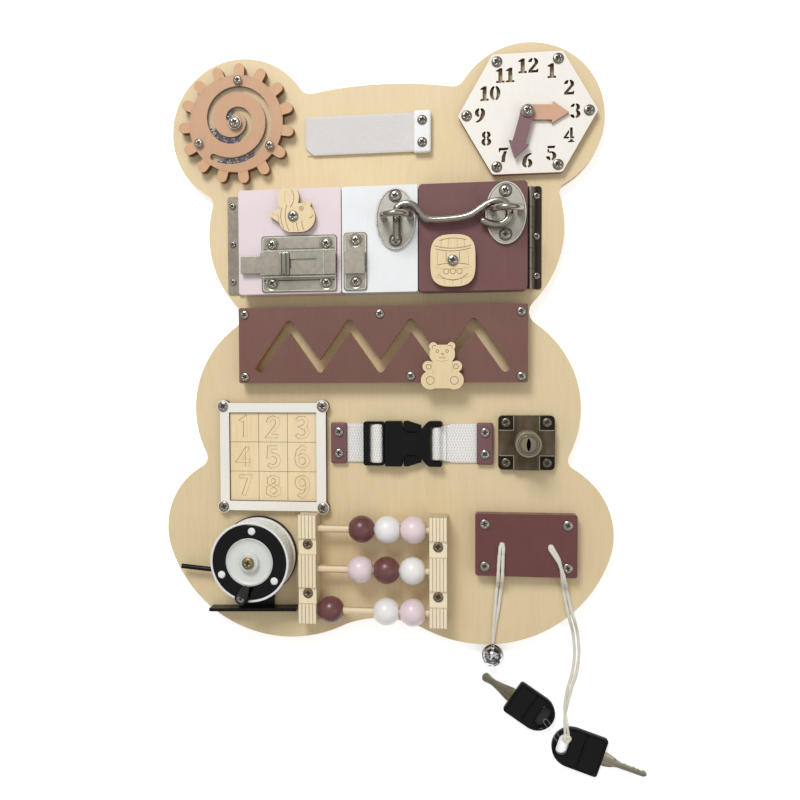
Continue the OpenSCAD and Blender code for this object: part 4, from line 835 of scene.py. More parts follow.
rnd = random.Random(7)
seed_sets = {"seed_blue": [], "seed_violet": [], "seed_clear": []}
for lo, hi, cnt in ((-0.005, 0.16, 12), (0.63, 0.885, 30), (1.59, 1.745, 32)):
    for i in range(cnt):
        t = lo + (hi - lo) * (i + rnd.uniform(-0.3, 0.3)) / cnt
        t = min(1.752, max(0.0, t))
        o = (1.15 if i % 2 else -1.15) + rnd.uniform(-0.25, 0.25)
        x, y, a = spiral(t, o)
        z = T + 4.2 + 1.0 + (1.35 if rnd.random() < 0.45 else 0)
        r, hgt = rnd.uniform(0.82, 1.02), rnd.uniform(0.55, 0.78)
        ax = Vector((rnd.uniform(-1, 1), rnd.uniform(-1, 1), rnd.uniform(-0.6, 1))).normalized()
        rot = ax.to_track_quat("Z", "Y").to_matrix()
        prof = [(0.34, -hgt * 0.7), (0.34 + (r - 0.34) * 0.5, -hgt), (r, -hgt * 0.45), (r, hgt * 0.45), (0.34 + (r - 0.34) * 0.5, hgt), (0.34, hgt * 0.7)]
        vs, fs, sg = [], [], 10
        for rr, hh in prof:
            for q in range(sg):
                an = 2 * math.pi * q / sg
                v = rot @ Vector((rr * math.cos(an), rr * math.sin(an), hh))
                vs.append((x + v.x, y + v.y, z + v.z))
        for j in range(len(prof)):
            j2 = (j + 1) % len(prof)
            for q in range(sg):
                q2 = (q + 1) % sg
                fs.append((j * sg + q, j * sg + q2, j2 * sg + q2, j2 * sg + q))
        kind = rnd.choices(("seed_blue", "seed_violet", "seed_clear"), (0.34, 0.33, 0.33))[0]
        seed_sets[kind].append((vs, fs))
for i, (kind, parts) in enumerate(seed_sets.items()):
    v, f = merge(parts)
    make("glass_" + kind, v, f, M[kind], "bead_gear", ("gear_seeds",) if i == 0 else (), sharp=70)

# ------------------------------------------------------------------ clock
remake("clock_dial", M["white"], 0.22, 40, 2)
remake("hour_hand", M["tan_hand"], 0.3, 40, 2)
remake("minute_hand", M["mauve_hand"], 0.35, 40, 2)


# ------------------------------------------------------------------ fabric
def cloth_slab(name, outline_x, outline_y, zbot, thick, wave, material, step=0.9, corner=None):
    """Flat cut of cloth with its own thickness: a grid that is clipped at its corners, with a soft edge."""
    xs, ys = lin_steps(*outline_x, step), lin_steps(*outline_y, step)
    x0, x1, y0, y1 = xs[0], xs[-1], ys[0], ys[-1]

    def place(x, y):
        # cut corners: (x side, y side, along x, along y)
        for sx, sy, ax, ay in corner or ():
            cx, cy = (x0 if sx < 0 else x1), (y0 if sy < 0 else y1)
            dx, dy = abs(x - cx), abs(y - cy)
            if dx / ax + dy / ay < 1:
                k = 1 - (dx / ax + dy / ay)
                if dx / ax < dy / ay:
                    x += -sx * ax * k * (1 if sx else 0)
                else:
                    y += -sy * ay * k
        return x, y

    def rim(x, y):
        d = min(x - x0, x1 - x, y - y0, y1 - y)
        q = max(0.0, 1 - d / 0.7)
        return 1 - 0.55 * q * q
    vs, fs = [], []
    nx, ny = len(xs), len(ys)
    for layer in (1, -1):
        for y in ys:
            for x in xs:
                px, py = place(x, y)
                m = zbot + thick / 2 + wave(x, y)
                vs.append((px, py, m + layer * thick / 2 * rim(x, y)))
    for j in range(ny - 1):
        for i in range(nx - 1):
            a = j * nx + i
            fs.append((a, a + 1, a + nx + 1, a + nx))
            b = a + nx * ny
            fs.append((b, b + nx, b + nx + 1, b + 1))
    edge = [i for i in range(nx)] + [j * nx + nx - 1 for j in range(1, ny)] + [(ny - 1) * nx + i for i in range(nx - 2, -1, -1)] + [j * nx for j in range(ny - 2, 0, -1)]
    for a, b in zip(edge, edge[1:] + edge[:1]):
        fs.append((a, nx * ny + a, nx * ny + b, b))
    return vs, fs


def ripple(seed, amp, sc=0.05):
    return lambda x, y: amp * noise.noise(Vector((x * sc + seed, y * sc, seed)))


v, f = cloth_slab("base", (-56, 37.2), (146.8, 174.8), T + 0.05, 1.4, lambda x, y: 0.0, M["ivory"])
strap_base = make("strap_base_cloth", v, f, M["ivory"], "board", ("strap_base",), sharp=60)
rp = ripple(3.0, 0.35, 0.06)
v, f = cloth_slab("flap", (-57, 36.5), (146.6, 175.2), T + 1.75, 1.45,
                  lambda x, y: (0.12 + rp(x, y)) * max(0.0, min(1.0, (20 - x) / 30)) * (0.4 + 0.6 * max(0.0, min(1.0, (-20 - x) / 30))), M["lilac"],
                  corner=((-1, -1, 5.5, 6.0), (-1, 1, 1.6, 1.8)))
flap = make("strap_flap_cloth", v, f, M["lilac"], "strap_flap", ("strap_flap",), sharp=60, keep_free=True)
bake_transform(flap)


# rounded clamp over the strap
def pillow(x0, x1, y0, y1, z0, z1, r, crown=0.25, name=None, material=None, slot=None, node=None, step=0.55, corner_r=1.6):
    """Small plate with rounded corners and edges."""
    n = 6
    pts = []
    for cx, cy, a0 in ((x1 - corner_r, y1 - corner_r, 0), (x0 + corner_r, y1 - corner_r, 90), (x0 + corner_r, y0 + corner_r, 180), (x1 - corner_r, y0 + corner_r, 270)):
        for i in range(n + 1):
            a = math.radians(a0 + 90 * i / n)
            pts.append((cx + corner_r * math.cos(a), cy + corner_r * math.sin(a)))
    mx, my = (x0 + x1) / 2, (y0 + y1) / 2
    vs, fs = [], []
    levels = [(0.0, z0)] + [(r * (1 - math.cos(math.radians(a))), z1 - r + r * math.sin(math.radians(a))) for a in (0, 20, 42, 66, 90)]
    m = len(pts)
    for ins, z in levels:
        for x, y in pts:
            sx = 1 - ins / ((x1 - x0) / 2)
            sy = 1 - ins / ((y1 - y0) / 2)
            vs.append((mx + (x - mx) * sx, my + (y - my) * sy, z))
    for j in range(len(levels) - 1):
        for i in range(m):
            i2 = (i + 1) % m
            fs.append((j * m + i, j * m + i2, (j + 1) * m + i2, (j + 1) * m + i))
    for sh in (0.75, 0.45):
        o = len(vs)
        ins, z = levels[-1]
        for i in range(m):
            x, y, zz = vs[(len(levels) - 1) * m + i]
            vs.append((mx + (x - mx) * sh, my + (y - my) * sh, z + crown * (1 - sh ** 2)))
        for i in range(m):
            i2 = (i + 1) % m
            fs.append((o - m + i, o - m + i2, o + i2, o + i))
    fs.append(tuple(range(len(vs) - m, len(vs))))
    fs.append(tuple(range(m))[::-1])
    return vs, fs


v, f = pillow(24.8, 37.6, 145, 176, T + 3.3, T + 6.3, 1.5, 0.1)
make("strap_clamp_plate", v, f, M["white_clamp"], "board", ("strap_clamp",))
v, f = merge([pillow(-38.8, -26.6, -86.6, -55.4, T + 1.8, T + 4.8, 1.2, 0.0), pillow(71, 83.2, -86.6, -55.4, T + 1.8, T + 4.8, 1.2, 0.0)])
make("webbing_clamp_plates", v, f, M["mauve_web"], "board", ("webbing_clamps",))


def webbing(name, prof, y0, y1, thick, material, node, free=False, pinch=None):
    """Tape swept across: prof is the middle line as (x, z)."""
    P = catmull([(x, 0, z) for x, z in prof], 6)
    n = len(P)
    ys = [y0, y0 + 0.35, y0 + 0.9] + lin_steps(y0 + 1.6, y1 - 1.6, 1.2) + [y1 - 0.9, y1 - 0.35, y1]
    vs, fs = [], []
    rows = []
    for i in range(n):
        t = (P[min(i + 1, n - 1)] - P[max(i - 1, 0)]).normalized()
        nrm = Vector((-t.z, 0, t.x))
        rows.append((P[i], nrm))
    m = len(ys)
    for lay in (1, -1):
        for p, nn in rows:
            for y in ys:
                d = min(y - y0, y1 - y)
                th = thick / 2 * (1 - 0.6 * max(0.0, 1 - d / 0.9) ** 2)
                q = p + nn * th * lay
                yy = (y0 + y1) / 2 + (y - (y0 + y1) / 2) * (pinch(q.x) if pinch else 1.0)
                vs.append((q.x, yy, q.z))
    off = n * m
    for i in range(n - 1):
        for j in range(m - 1):
            a = i * m + j
            fs.append((a, a + 1, a + m + 1, a + m))
            b = a + off
            fs.append((b, b + m, b + m + 1, b + 1))
    for i in range(n - 1):
        a = i * m
        fs.append((a, a + m, a + m + off, a + off))
        a = i * m + m - 1
        fs.append((a, a + off, a + m + off, a + m))
    for j in range(m - 1):
        fs.append((j, j + off, j + 1 + off, j + 1))
        a = (n - 1) * m + j
        fs.append((a, a + 1, a + 1 + off, a + off))
    return make(name, vs, fs, material, "board", (node,), sharp=60, keep_free=free), sum((P[i + 1] - P[i]).length for i in range(n - 1))


wl, ll = webbing("webbing_left_tape", [(-38.2, T + 0.95), (-30, T + 0.95), (-22, T + 1.0), (-15, T + 1.2), (-10.6, T + 2.2), (-8, T + 4.6), (-5.6, T + 6.9), (-2.4, T + 7.7), (-0.2, T + 6.7), (0.35, T + 5),
                                       (-0.3, T + 3.4), (-2.4, T + 2.5), (-5.4, T + 1.7), (-8.6, T + 1.0 + 1.3)], -85.6, -56.4, 1.4, M["web"], "webbing_left")
wr, lr = webbing("webbing_right_tape", [(82.6, T + 0.95), (74, T + 0.95), (62, T + 1.0), (52, T + 1.1), (47.4, T + 1.9), (44.6, T + 4.4), (43.4, T + 6.6), (41.4, T + 7.5), (39.5, T + 6.5), (38.8, T + 5),
                                        (39.5, T + 3.4), (41.4, T + 2.5), (44.6, T + 2.3), (48.6, T + 3.1)], -85.6, -56.4, 1.5, M["web"], "webbing_right", free=True,
                 pinch=lambda x: 0.845 + 0.155 * max(0.0, min(1.0, (x - 43.5) / 9)))
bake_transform(wr)

# ------------------------------------------------------------------ doors and their hardware
remake("door_block", M["white_plain"], 0.6, 30, 3)
remake("left_door", M["pink"], 0.6, 30, 3)
remake("right_door", M["mauve"], 0.7, 30, 3)
# faces of the right hinge take the metal with painted reflection bands
remake("hinge_leaves_fixed", [M["hinge_v"], M["hinge_r"]], 0.18, 30, 2, tint=lambda c, n: 1 if c[0] > 111.5 else 0)
remake("left_hinge_leaf", M["hinge_v"], 0.18, 30, 2)
remake("right_hinge_leaf", M["hinge_v"], 0.18, 30, 2)
dress("bolt_guide", M["hinge"])
dress("bolt_keeper", M["hinge"])
remake("bolt_bar", M["hinge"], 0.3, 30, 2, only=lambda q: q.z < F + 7.2)
v, f = merge([pillow(-72.4, -65.4, 54.4, 71.6, F + 6.9, F + 8.4, 0.5, 0.0), pillow(-70.9, -67.4, 54.7, 71.3, F + 8.1, F + 10.6, 0.9, 0.1, corner_r=1.2)])
make("bolt_knob", v, f, M["rodm"], "bolt_bar")
v, f = pillow(-73.0, -71.2, 55.0, 71.0, F + 6.6, F + 9.4, 0.5, 0.0, corner_r=0.7)
make("bolt_knob_lip", v, f, M["hinge"], "bolt_bar")


def circle(x, y, r, n=28):
    return [Vector((x + r * math.cos(2 * math.pi * k / n), y + r * math.sin(2 * math.pi * k / n))) for k in range(n)]


def rim_line(x0, x1, y0, y1, r, z, w=0.7, h=0.22):
    pts = []
    for cx, cy, a0 in ((x1 - r, y1 - r, 0), (x0 + r, y1 - r, 90), (x0 + r, y0 + r, 180), (x1 - r, y0 + r, 270)):
        for i in range(7):
            a = math.radians(a0 + 15 * i)
            pts.append((cx + r * math.cos(a), cy + r * math.sin(a)))
    return ribbon(pts, w, z, h, True)


# bright rims on the bolt and keeper plates and bright lines along the bolt housing edges are painted highlights
v, f = rim_line(-86.9, -32.1, 43.7, 83.3, 2.2, F + 1)
make("bolt_plate_painted_highlight_rim", v, f, M["painted_highlight_rim"], "left_door")
v, f = rim_line(-24.9, -9.6, 43.9, 84.3, 2.2, F + 1)
make("keeper_plate_painted_highlight_rim", v, f, M["painted_highlight_rim"], "board")
v, f = merge([ribbon([(-87.4, y), (-31.6, y)], 0.5, F + 6.4, 0.12) for y in (53.4, 72.6)] + [ribbon([(-40.2, 54), (-40.2, 72)], 0.35, F + 6.4, 0.08)])
make("bolt_housing_painted_highlights", v, f, M["painted_highlight_rim"], "left_door")
# dark outlines round the plates and strips beside the bolt housing are painted shade
v, f = merge([rim_line(-87.7, -31.3, 42.9, 84.1, 2.4, F + 1, 0.45, 0.05), ribbon([(-87, 51.3), (-32, 51.3)], 0.9, F + 1, 0.05), ribbon([(-87, 74.6), (-32, 74.6)], 0.5, F + 1, 0.05)])
make("bolt_plate_shade", v, f, M["painted_shade_line"], "left_door")
v, f = merge([rim_line(-25.7, -8.8, 43.1, 85.1, 2.4, F + 1, 0.45, 0.05)])
make("keeper_plate_shade", v, f, M["painted_shade_line"], "board")
for i, (x, y, b) in enumerate([(x, y, "left_door") for x in (-80, -39) for y in (77.8, 48.9)] + [(-17, y, "board") for y in (79.5, 49.2)]):
    lathe("countersink_%d" % (i + 1), [(3.5, 0.8), (5.0, 0.8), (5.15, 1.3), (4.9, 1.45), (4.5, 1.3), (3.9, 1.02), (3.5, 0.8)], (x, y, F), M["hinge"], b, segs=40)
remake("hook_eye_left", [M["cast"], M["rodm"]], 0.2, 30, 2, tint=lambda c, n: 1 if c[2] > F + 2.6 else 0)
remake("hook_eye_right", [M["cast"], M["rodm"]], 0.2, 30, 2, tint=lambda c, n: 1 if c[2] > F + 2.6 else 0)
for nm, ex, ey, b, mid in (("left", 12.6, 92, "board", 12.4), ("right", 91.8, 92, "right_door", 91.6)):
    lo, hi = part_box("hook_eye_" + nm)
    ex, ey = (lo[0] + hi[0]) / 2 / MM, (lo[1] + hi[1]) / 2 / MM
    rx, ry = (hi[0] - lo[0]) / 2 / MM - 0.55, (hi[1] - lo[1]) / 2 / MM - 0.55
    # bright oval ring on the eye plate rim: painted highlight
    v, f = ribbon([(ex + rx * math.cos(2 * math.pi * i / 72), ey + ry * math.sin(2 * math.pi * i / 72)) for i in range(72)], 0.8, F + 2.3, 0.1, True)
    make("eye_painted_highlight_rim_" + nm, v, f, M["painted_highlight_rim"], b)
    # dark ring round each screw seat on the eye plates: painted shade
    parts = [ribbon([(p.x, p.y) for p in circle(mid, y, 4.5)], 0.7, F + 1.6, 0.1, True) for y in ((110.8, 78.8) if nm == "left" else (112, 81))]
    v, f = merge(parts)
    make("eye_screw_seat_painted_shade_" + nm, v, f, M["recess"], b)
HOOK = [[13.8, 79.6], [13.8, 99], [15, 102], [18, 103.8], [22, 104.2], [26, 102.6], [29.6, 98.6], [33, 94.6],
        [38, 92.2], [49, 92], [60, 93], [67, 94.8], [73, 98.4], [78, 101.6], [83, 103.8], [88, 104], [92, 101.8],
        [94, 98.6], [94, 94], [93, 91], [90, 88.4], [86, 87.2], [80.6, 88], [75.6, 90.2]]
v, f = tube(catmull([(x, y, F + 6.4) for x, y in HOOK], 10), lambda q: 2.7, 32)
make("hook_rod_smooth", v, f, M["rodm"], "cabin_hook", ("hook_rod",), sharp=60)

dress("bee_piece", M["cut"])
dress("honey_barrel", M["cut"])



def bow(a, b, h, n=8):
    a, b = Vector(a), Vector(b)
    d = b - a
    m = Vector((-d.y, d.x)).normalized()
    return [a + d * (k / n) + m * (h * 4 * (k / n) * (1 - k / n)) for k in range(n + 1)]


def burnt(name, c, z, lines, rings, body, w=0.5, material=None, sink=0.34):
    """Dark floors of engraved lines. c is the middle of the piece, z its face."""
    parts = [ribbon([(p[0] + c[0], p[1] + c[1]) for p in ln], w, z - sink, 0.0) for ln in lines]
    parts += [ribbon([(p[0] + c[0], p[1] + c[1]) for p in circle(*q)], w, z - sink, 0.0, True) for q in rings]
    v, f = merge(parts)
    return make(name, v, f, material or M["engr"], body, sharp=60)


burnt("bee_lines", (-62.8, 98), F + 5.3, [bow((-8.4, 6.4), (-7, -8.8), -1.6), bow((-4.8, 8.4), (-3, -10.8), -2), bow((2.6, -4.6), (4.2, -11), -0.6),
      bow((6.6, -3.6), (8.2, -10.6), -0.6), bow((-2.2, 6.4), (-1.2, 19.4), -2.4), bow((12, -1.6), (14.8, 0.8), -0.8)], [(6.2, 5.4, 1.5), (6.2, 5.4, 0.5)], BODY_OF["bee_piece"])
burnt("bee_fine_lines", (-62.8, 98), F + 5.3, [bow((-11.2, 2.6), (-9.4, -5.6), -0.9), bow((-1.2, 9.2), (0.6, 5.2), -0.3), bow((0.2, -4.8), (1.0, -11.2), -0.5), bow((-16.4, 2.4), (-9.8, -1.2), 0.5),
      bow((-5.6, 9.6), (-5.2, 18.6), 1.2)], [(8.4, 9.2, 1.1)], BODY_OF["bee_piece"], 0.26, M["engr_soft"], sink=-0.03)
barrel_body = BODY_OF["honey_barrel"]
burnt("barrel_lines", (54.2, 62.7), F + 5.3, [bow((-13, 10.6), (13, 10.6), -1.9), bow((-12.6, 8.6), (12.6, 8.6), -1.9), bow((-9.6, 14.4), (9.6, 14.4), 1.6), bow((-11.6, -3.2), (11.6, -3.2), 1.3),
      bow((-10.8, -9.6), (10.8, -9.6), -4.6), ((-4.8, 6), (-4.8, -0.8)), ((4.8, 6), (4.8, -0.8))], [(x, -7.8, 1.9) for x in (-4.8, 0, 4.8)], barrel_body)
burnt("barrel_fine_lines", (54.2, 62.7), F + 5.3, [bow((x, 9.6 - 0.9 * (1 - (x / 13) ** 2)), (x * 0.9, 15.4 + 0.9 * (1 - (x / 10) ** 2)), 0.0) for x in (-8.6, -3.4, 3.4, 8.6)]
      + [bow((x, 7.2), (x * 1.06, -2.0), 0.3 if x > 0 else -0.3) for x in (-10.4, 10.4)] + [bow((-13.2, -4.6), (13.2, -4.6), -1.6), bow((-13, -11.2), (13, -11.2), -2.4)]
      + [bow((x, -13.6), (x * 0.92, -17.4), 0.0) for x in (-6.4, 0, 6.4)], [], barrel_body, 0.26, M["engr_soft"], sink=-0.03)
bear_body = BODY_OF["maze_bear"]
bear_lines = [((-1, 10), (1.4, 10), (0.2, 8.8)), ((0.2, 8.3), (0.2, 7.5)), bow((-1.8, 7.6), (-0.2, 6.9), -0.5), bow((0.6, 6.9), (2.2, 7.6), -0.5)]
bear_lines += [bow((0.2 + s_ * 4.4, 15.6), (0.2 + s_ * 7.2, 13.4), s_ * 1.5) for s_ in (-1, 1)]
burnt("bear_lines", (46, -14), T + 17.1, bear_lines, [(-3.4, 11.8, 1), (3.8, 11.8, 1)] + [(0.2 + s_ * 10, 0.4, 1.7) for s_ in (-1, 1)] + [(0.2 + s_ * 8.8, -9.6, 2.9) for s_ in (-1, 1)], bear_body)
burnt("bear_fine_lines", (46, -14), T + 17.1, [bow((-6.8, 4.4), (-6.2, -4.6), -1.0), bow((7.2, 4.4), (6.6, -4.6), 1.0), bow((-4.4, 5.4), (4.8, 5.4), -1.0)], [], bear_body, 0.26, M["engr_soft"], sink=-0.03)

# ------------------------------------------------------------------ maze
remake("maze_panel", M["maze"], 0.8, 30, 3)
dress("maze_bear", M["cut"])

# ------------------------------------------------------------------ number puzzle
remake("number_frame", M["frame"], 0.35, 40, 2)
dress("number_tiles", M["tile"])
LOOP6 = [[(4.9, 9), (3, 10), (1.2, 8), (0.6, 4), (1.2, 1.2), (3.1, 0)], [(2.9, 0), (4.9, 1.1), (5.4, 3.2), (4.6, 5.2), (3, 6), (1.2, 4.8)]]
DIGITS = [[[(1.2, 8), (3.4, 10), (3.4, 0)]],
          [[(0.8, 7.4), (1.4, 9.2), (3, 10), (4.8, 9.2), (5.2, 7.2), (4.2, 5.2), (0.9, 0.4), (5.4, 0.4)]],
          [[(0.8, 8.6), (2, 9.8), (4, 9.8), (5, 8.2), (4.6, 6.2), (3, 5.3), (4.8, 4.4), (5.4, 2.4), (4.4, 0.5), (2, 0), (0.6, 1.4)]],
          [[(4.2, 0), (4.2, 9.9)], [(4.4, 9.8), (0.4, 2.8), (5.8, 2.8)]],
          [[(5, 9.8), (1.4, 9.8), (1.1, 5.4), (3, 6.2), (5, 5), (5.4, 2.8), (4.4, 0.6), (2.4, 0), (0.7, 1.1)]],
          LOOP6,
          [[(0.6, 9.8), (5.4, 9.8), (2.4, 0)]],
          [[(3.2, 5.3), (1.2, 6.6), (1.2, 8.8), (3.1, 10)], [(2.9, 10), (4.8, 8.8), (4.8, 6.6), (2.8, 5.3)], [(2.8, 5.5), (5.2, 4), (5.3, 1.4), (2.9, 0)], [(3.1, 0), (0.7, 1.4), (0.8, 4), (3.2, 5.5)]],
          [[(6 - x, 10 - y) for x, y in q] for q in LOOP6]]
edge_lines = []
for i, strokes in enumerate(DIGITS):
    ox, oy = tc_[0] + (i % 3 - 1) * 22.7, tc_[1] - (i // 3 - 1) * 22.7
    for st in strokes:
        P = [Vector((x - 3, y - 5)) for x, y in st]
        for sd in (1, -1):
            ln = []
            for j, q in enumerate(P):
                a = (P[j] - P[j - 1]).normalized() if j else (P[1] - P[0]).normalized()
                b = (P[j + 1] - P[j]).normalized() if j < len(P) - 1 else a
                m = (a + b).normalized()
                w_ = q + Vector((-m.y, m.x)) * sd * 0.87 / max(0.5, m.dot(a))
                ln.append((ox + w_.x * 1.77, oy + w_.y * 1.5))
            edge_lines.append(ln)
burnt("tile_digit_edges", (0, 0), T + 4, edge_lines, [], "board", 0.26, M["engr_soft"], sink=0.45)

# ------------------------------------------------------------------ buckle
remake("buckle_male", M["black"], 0.7, 30, 3)
remake("buckle_female", M["black"], 1.0, 30, 3)

# ------------------------------------------------------------------ lock
# sloped faces take the worn edge colour (rubbed wear and painted highlight); cylinder walls take the lighter side copy,
# which is painted light
remake("lock_case", [M["lock"], M["lock_cross"], M["lock_cyl"], M["lock_edge"], M["lock_side"]], 0.5, 30, 3,
       tint=lambda c, n: (4 if abs(n[2]) < 0.4 else 2) if c[2] > T + 8.3 else (3 if 0.3 < abs(n[2]) < 0.93 else (1 if c[2] > T + 5.3 else 0)))
# keyhole walls and floor are coloured black: painted shade inside the keyhole
remake("lock_plug", [M["lock_cyl"], M["black"]], 0.25, 30, 2, tint=lambda c, n: 1 if math.hypot(c[0] - lc[0] - 0.4, c[1] - lc[1] - 0.6) < 4.7 and (abs(n[2]) < 0.6 or c[2] < T + 24) else 0)
cy = (lc[0] + 0.4, lc[1] + 0.6)
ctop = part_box("lock_case")[1][2] / MM
# bright lines at the steps of the cross: rubbed wear and painted highlight
lines = []
for sx in (-1, 1):
    for sy in (-1, 1):
        lines.append(ribbon([(lc[0] + sx * 9.3, lc[1] + sy * 19.7), (lc[0] + sx * 9.3, lc[1] + sy * 9.3), (lc[0] + sx * 20.1, lc[1] + sy * 9.3)], 0.7, T + 8, 0.1))
v, f = merge(lines)
make("lock_worn_and_highlit_steps", v, f, M["lock_edge"], "board")
# bright ring round the cylinder face: painted highlight
v, f = merge([ribbon([(p.x, p.y) for p in circle(cy[0], cy[1], 8.5, 48)], 0.55, ctop, 0.06, True)])
make("lock_face_highlight_ring", v, f, M["lock_edge"], "board")
# dark ring on the lock face: painted shade standing in for a groove
v, f = merge([ribbon([(p.x, p.y) for p in circle(cy[0], cy[1], 7.6, 48)], 0.4, ctop, 0.04, True)])
make("lock_face_painted_groove_shade", v, f, M["recess"], "board")
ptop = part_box("lock_plug")[1][2] / MM
# dark rings on the plug face: painted shade standing in for grooves
v, f = merge([ribbon([(p.x, p.y) for p in circle(cy[0], cy[1], q, 40)], 0.3, ptop, 0.04, True) for q in (5.4, 6.1)])
make("lock_plug_painted_ring_shade", v, f, M["recess"], "lock_plug")
remake("lock_bolt", M["hinge"], 0.4, 30, 2)

# ------------------------------------------------------------------ reel
remake("reel_frame", M["black"], 0.4, 30, 2)
R = (rc[0], rc[1], T)
lathe("reel_drum", [(2.6, 4.6), (29.2, 4.6), (29.4, 5.0), (29.2, 6.2), (25, 6.4), (25, 29.4), (28.6, 29.8), (28.9, 30.4), (28.9, 31.4), (2.6, 31.4), (2.6, 4.6)], R, M["white_pl"], "reel_spool", ("reel_spool",), segs=96)
# wound line: one long coil that fills the drum
pts = []
for i in range(40 * 30 + 1):
    a = 2 * math.pi * i / 40
    pts.append(Vector((R[0] + 27.4 * math.cos(a), R[1] + 27.4 * math.sin(a), T + 7.1 + 22 * i / (40 * 30))))
v, f = tube(pts, 0.56, 6)
make("reel_wound_line", v, f, M["line"], "reel_spool", sharp=80)
lathe("reel_line_bed", [(25, 6.4), (27.3, 6.6), (27.3, 29.4), (25, 29.6), (25, 6.4)], R, M["line"], "reel_spool", segs=96)
lathe("reel_outer_rim", [(28.2, 30.6), (29.6, 30.6), (30, 31.2), (30, 32.6), (29.6, 33.2), (28.8, 33.3), (28.3, 32.9), (28.2, 30.6)], R, M["white_pl"], "reel_spool", segs=96)
lathe("reel_black_ring", [(17.6, 30.8), (28.3, 30.8), (28.3, 32.4), (27.6, 32.9), (19, 33.0), (18, 32.7), (17.6, 32.2), (17.6, 30.8)], R, M["black_gloss"], "reel_spool", segs=96)
lathe("reel_dish", [(7.2, 31.5), (13.6, 31.5), (15.6, 31.8), (16.5, 32.6), (16.9, 32.8), (17.0, 32.3), (17.3, 32.3), (17.4, 33.0), (17.9, 32.8), (17.9, 31.0), (7.2, 31.0), (7.2, 31.5)], R, M["dish"], "reel_spool", segs=96)
lathe("reel_hub", [(2.7, 31.2), (7.8, 31.3), (7.6, 32.2), (7.3, 34.9), (6.9, 35.4), (6.3, 35.6), (6.1, 35.2), (5.8, 35.2), (5.5, 35.6), (2.7, 35.6), (2.7, 31.2)], R, M["dish"], "reel_spool", segs=64)
for i, a in enumerate((84.8, 204.6, 324.6)):
    q = (R[0] + 23.3 * math.cos(math.radians(a)), R[1] + 23.3 * math.sin(math.radians(a)), T)
    lathe("reel_dot_%d" % (i + 1), [(0, 34.0), (1.6, 33.95), (2.4, 33.7), (2.8, 33.2), (2.8, 32.4), (0, 32.4)], q, M["white_pl"], "reel_spool", segs=32)
# crank: dark boss at the rim, short petal lever and a bright screw
ka = math.radians(-101)
kc = (R[0] + 26.6 * math.cos(ka), R[1] + 26.6 * math.sin(ka))
lathe("reel_knob_post", [(0, 30.3), (1.95, 30.3), (1.95, 33.4), (5.0, 33.5), (5.4, 33.9), (5.4, 36.4), (4.8, 36.9), (0, 36.9)], (kc[0], kc[1], T), M["black_gloss"], "reel_knob", ("reel_knob",), segs=40)
lv = math.radians(62)
vs, fs = [], []
N = 22
for i in range(N + 1):
    s = i / N
    w = 0.8 + 2.9 * math.sin(math.pi * (0.12 + 0.82 * s)) ** 0.8
    d = -3.6 + 14.6 * s
    zc = 37.6 + 2.0 * math.sin(math.pi * 0.6 * s)
    for k in range(12):
        a = 2 * math.pi * k / 12
        lx, ly, lz = d, w * math.cos(a), zc + 1.2 * math.sin(a) * (1 - 0.25 * abs(math.cos(a)))
        vs.append((kc[0] + lx * math.cos(lv) - ly * math.sin(lv), kc[1] + lx * math.sin(lv) + ly * math.cos(lv), T + lz))
for i in range(N):
    for k in range(12):
        k2 = (k + 1) % 12
        fs.append((i * 12 + k, i * 12 + k2, (i + 1) * 12 + k2, (i + 1) * 12 + k))
fs.append(tuple(range(12))[::-1])
fs.append(tuple(N * 12 + k for k in range(12)))
make("reel_lever", vs, fs, M["grey_lever"], "reel_knob", sharp=60)
screws("reel_lever_screw", [(kc[0], kc[1], T + 38.4, 2.7)], M["screw"], "reel_knob", "screw_steel", h=1.6)

# ------------------------------------------------------------------ bead frame
post_s = [(x, y) for x in (-54.3, 43.2) for y in (-146, -183)]
parts = []
for x0, x1 in ((-61.6, -47.8), (36.6, 49.8)):
    w = (x1 - x0) / 5
    xs = sorted({round(x0 + w * (i + q), 4) for i in range(5) for q in (0, 0.04, 0.09, 0.16, 0.26, 0.38, 0.5, 0.62, 0.74, 0.84, 0.91, 0.96, 1.0)})
    ex = []
    for sx, sy in post_s:
        if x0 < sx < x1:
            ex += [sy - 8.0, sy - 7.8, sy - 7.0, sy + 3.8, sy + 4.4, sy + 4.6]
    ys = lin_steps(-206, -124.1, 1.6, ex + [-205.7, -205.3, -204.8, -124.4, -124.8, -125.3])

    def top(x, y, x0=x0, w=w):
        u = ((x - x0) / w) % 1.0
        rib = 22.0 - 0.95 * (abs(2 * u - 1) ** 5)
        if x <= x0 + 1e-6 or x >= x0 + 5 * w - 1e-6:
            rib = 21.05
        for sx, sy in post_s:
            if abs(sx - (x0 + 2.5 * w)) < 4 and sy - 7.9 < y < sy + 4.5:
                rib = min(rib, 20.0)
        return T + rib
    parts.append(slab(xs, ys, top, T + 0.0, rim=0.5))
v, f = merge(parts)
make("fluted_posts", v, f, M["pine"], "board", ("bead_posts",), sharp=50)
rods = []
ROWS = (-134.8, -165.4, -196.6)
for y in ROWS:
    rods.append(tube([Vector((x, y, T + 14)) for x in (-48.2, -20, 10, 37)], 2.9, 28, cap=False))
v, f = merge(rods)
make("bead_rods_turned", v, f, M["rod"], "board", ("bead_rods",), sharp=60)
BEADS = {"bead_1_left": (-14.2, 0, "bead_mauve"), "bead_1_middle": (5.2, 0, "bead_white"), "bead_1_right": (24.6, 0, "bead_pink")}
for n in ("bead_2_left", "bead_2_middle", "bead_2_right", "bead_3_left", "bead_3_middle", "bead_3_right"):
    lo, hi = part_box(n)
    BEADS[n] = ((lo[0] + hi[0]) / 2 / MM, int(n[5]) - 1, {"bead_2_left": "bead_pink", "bead_2_middle": "bead_mauve", "bead_2_right": "bead_white", "bead_3_left": "bead_mauve", "bead_3_middle": "bead_white", "bead_3_right": "bead_pink"}[n])
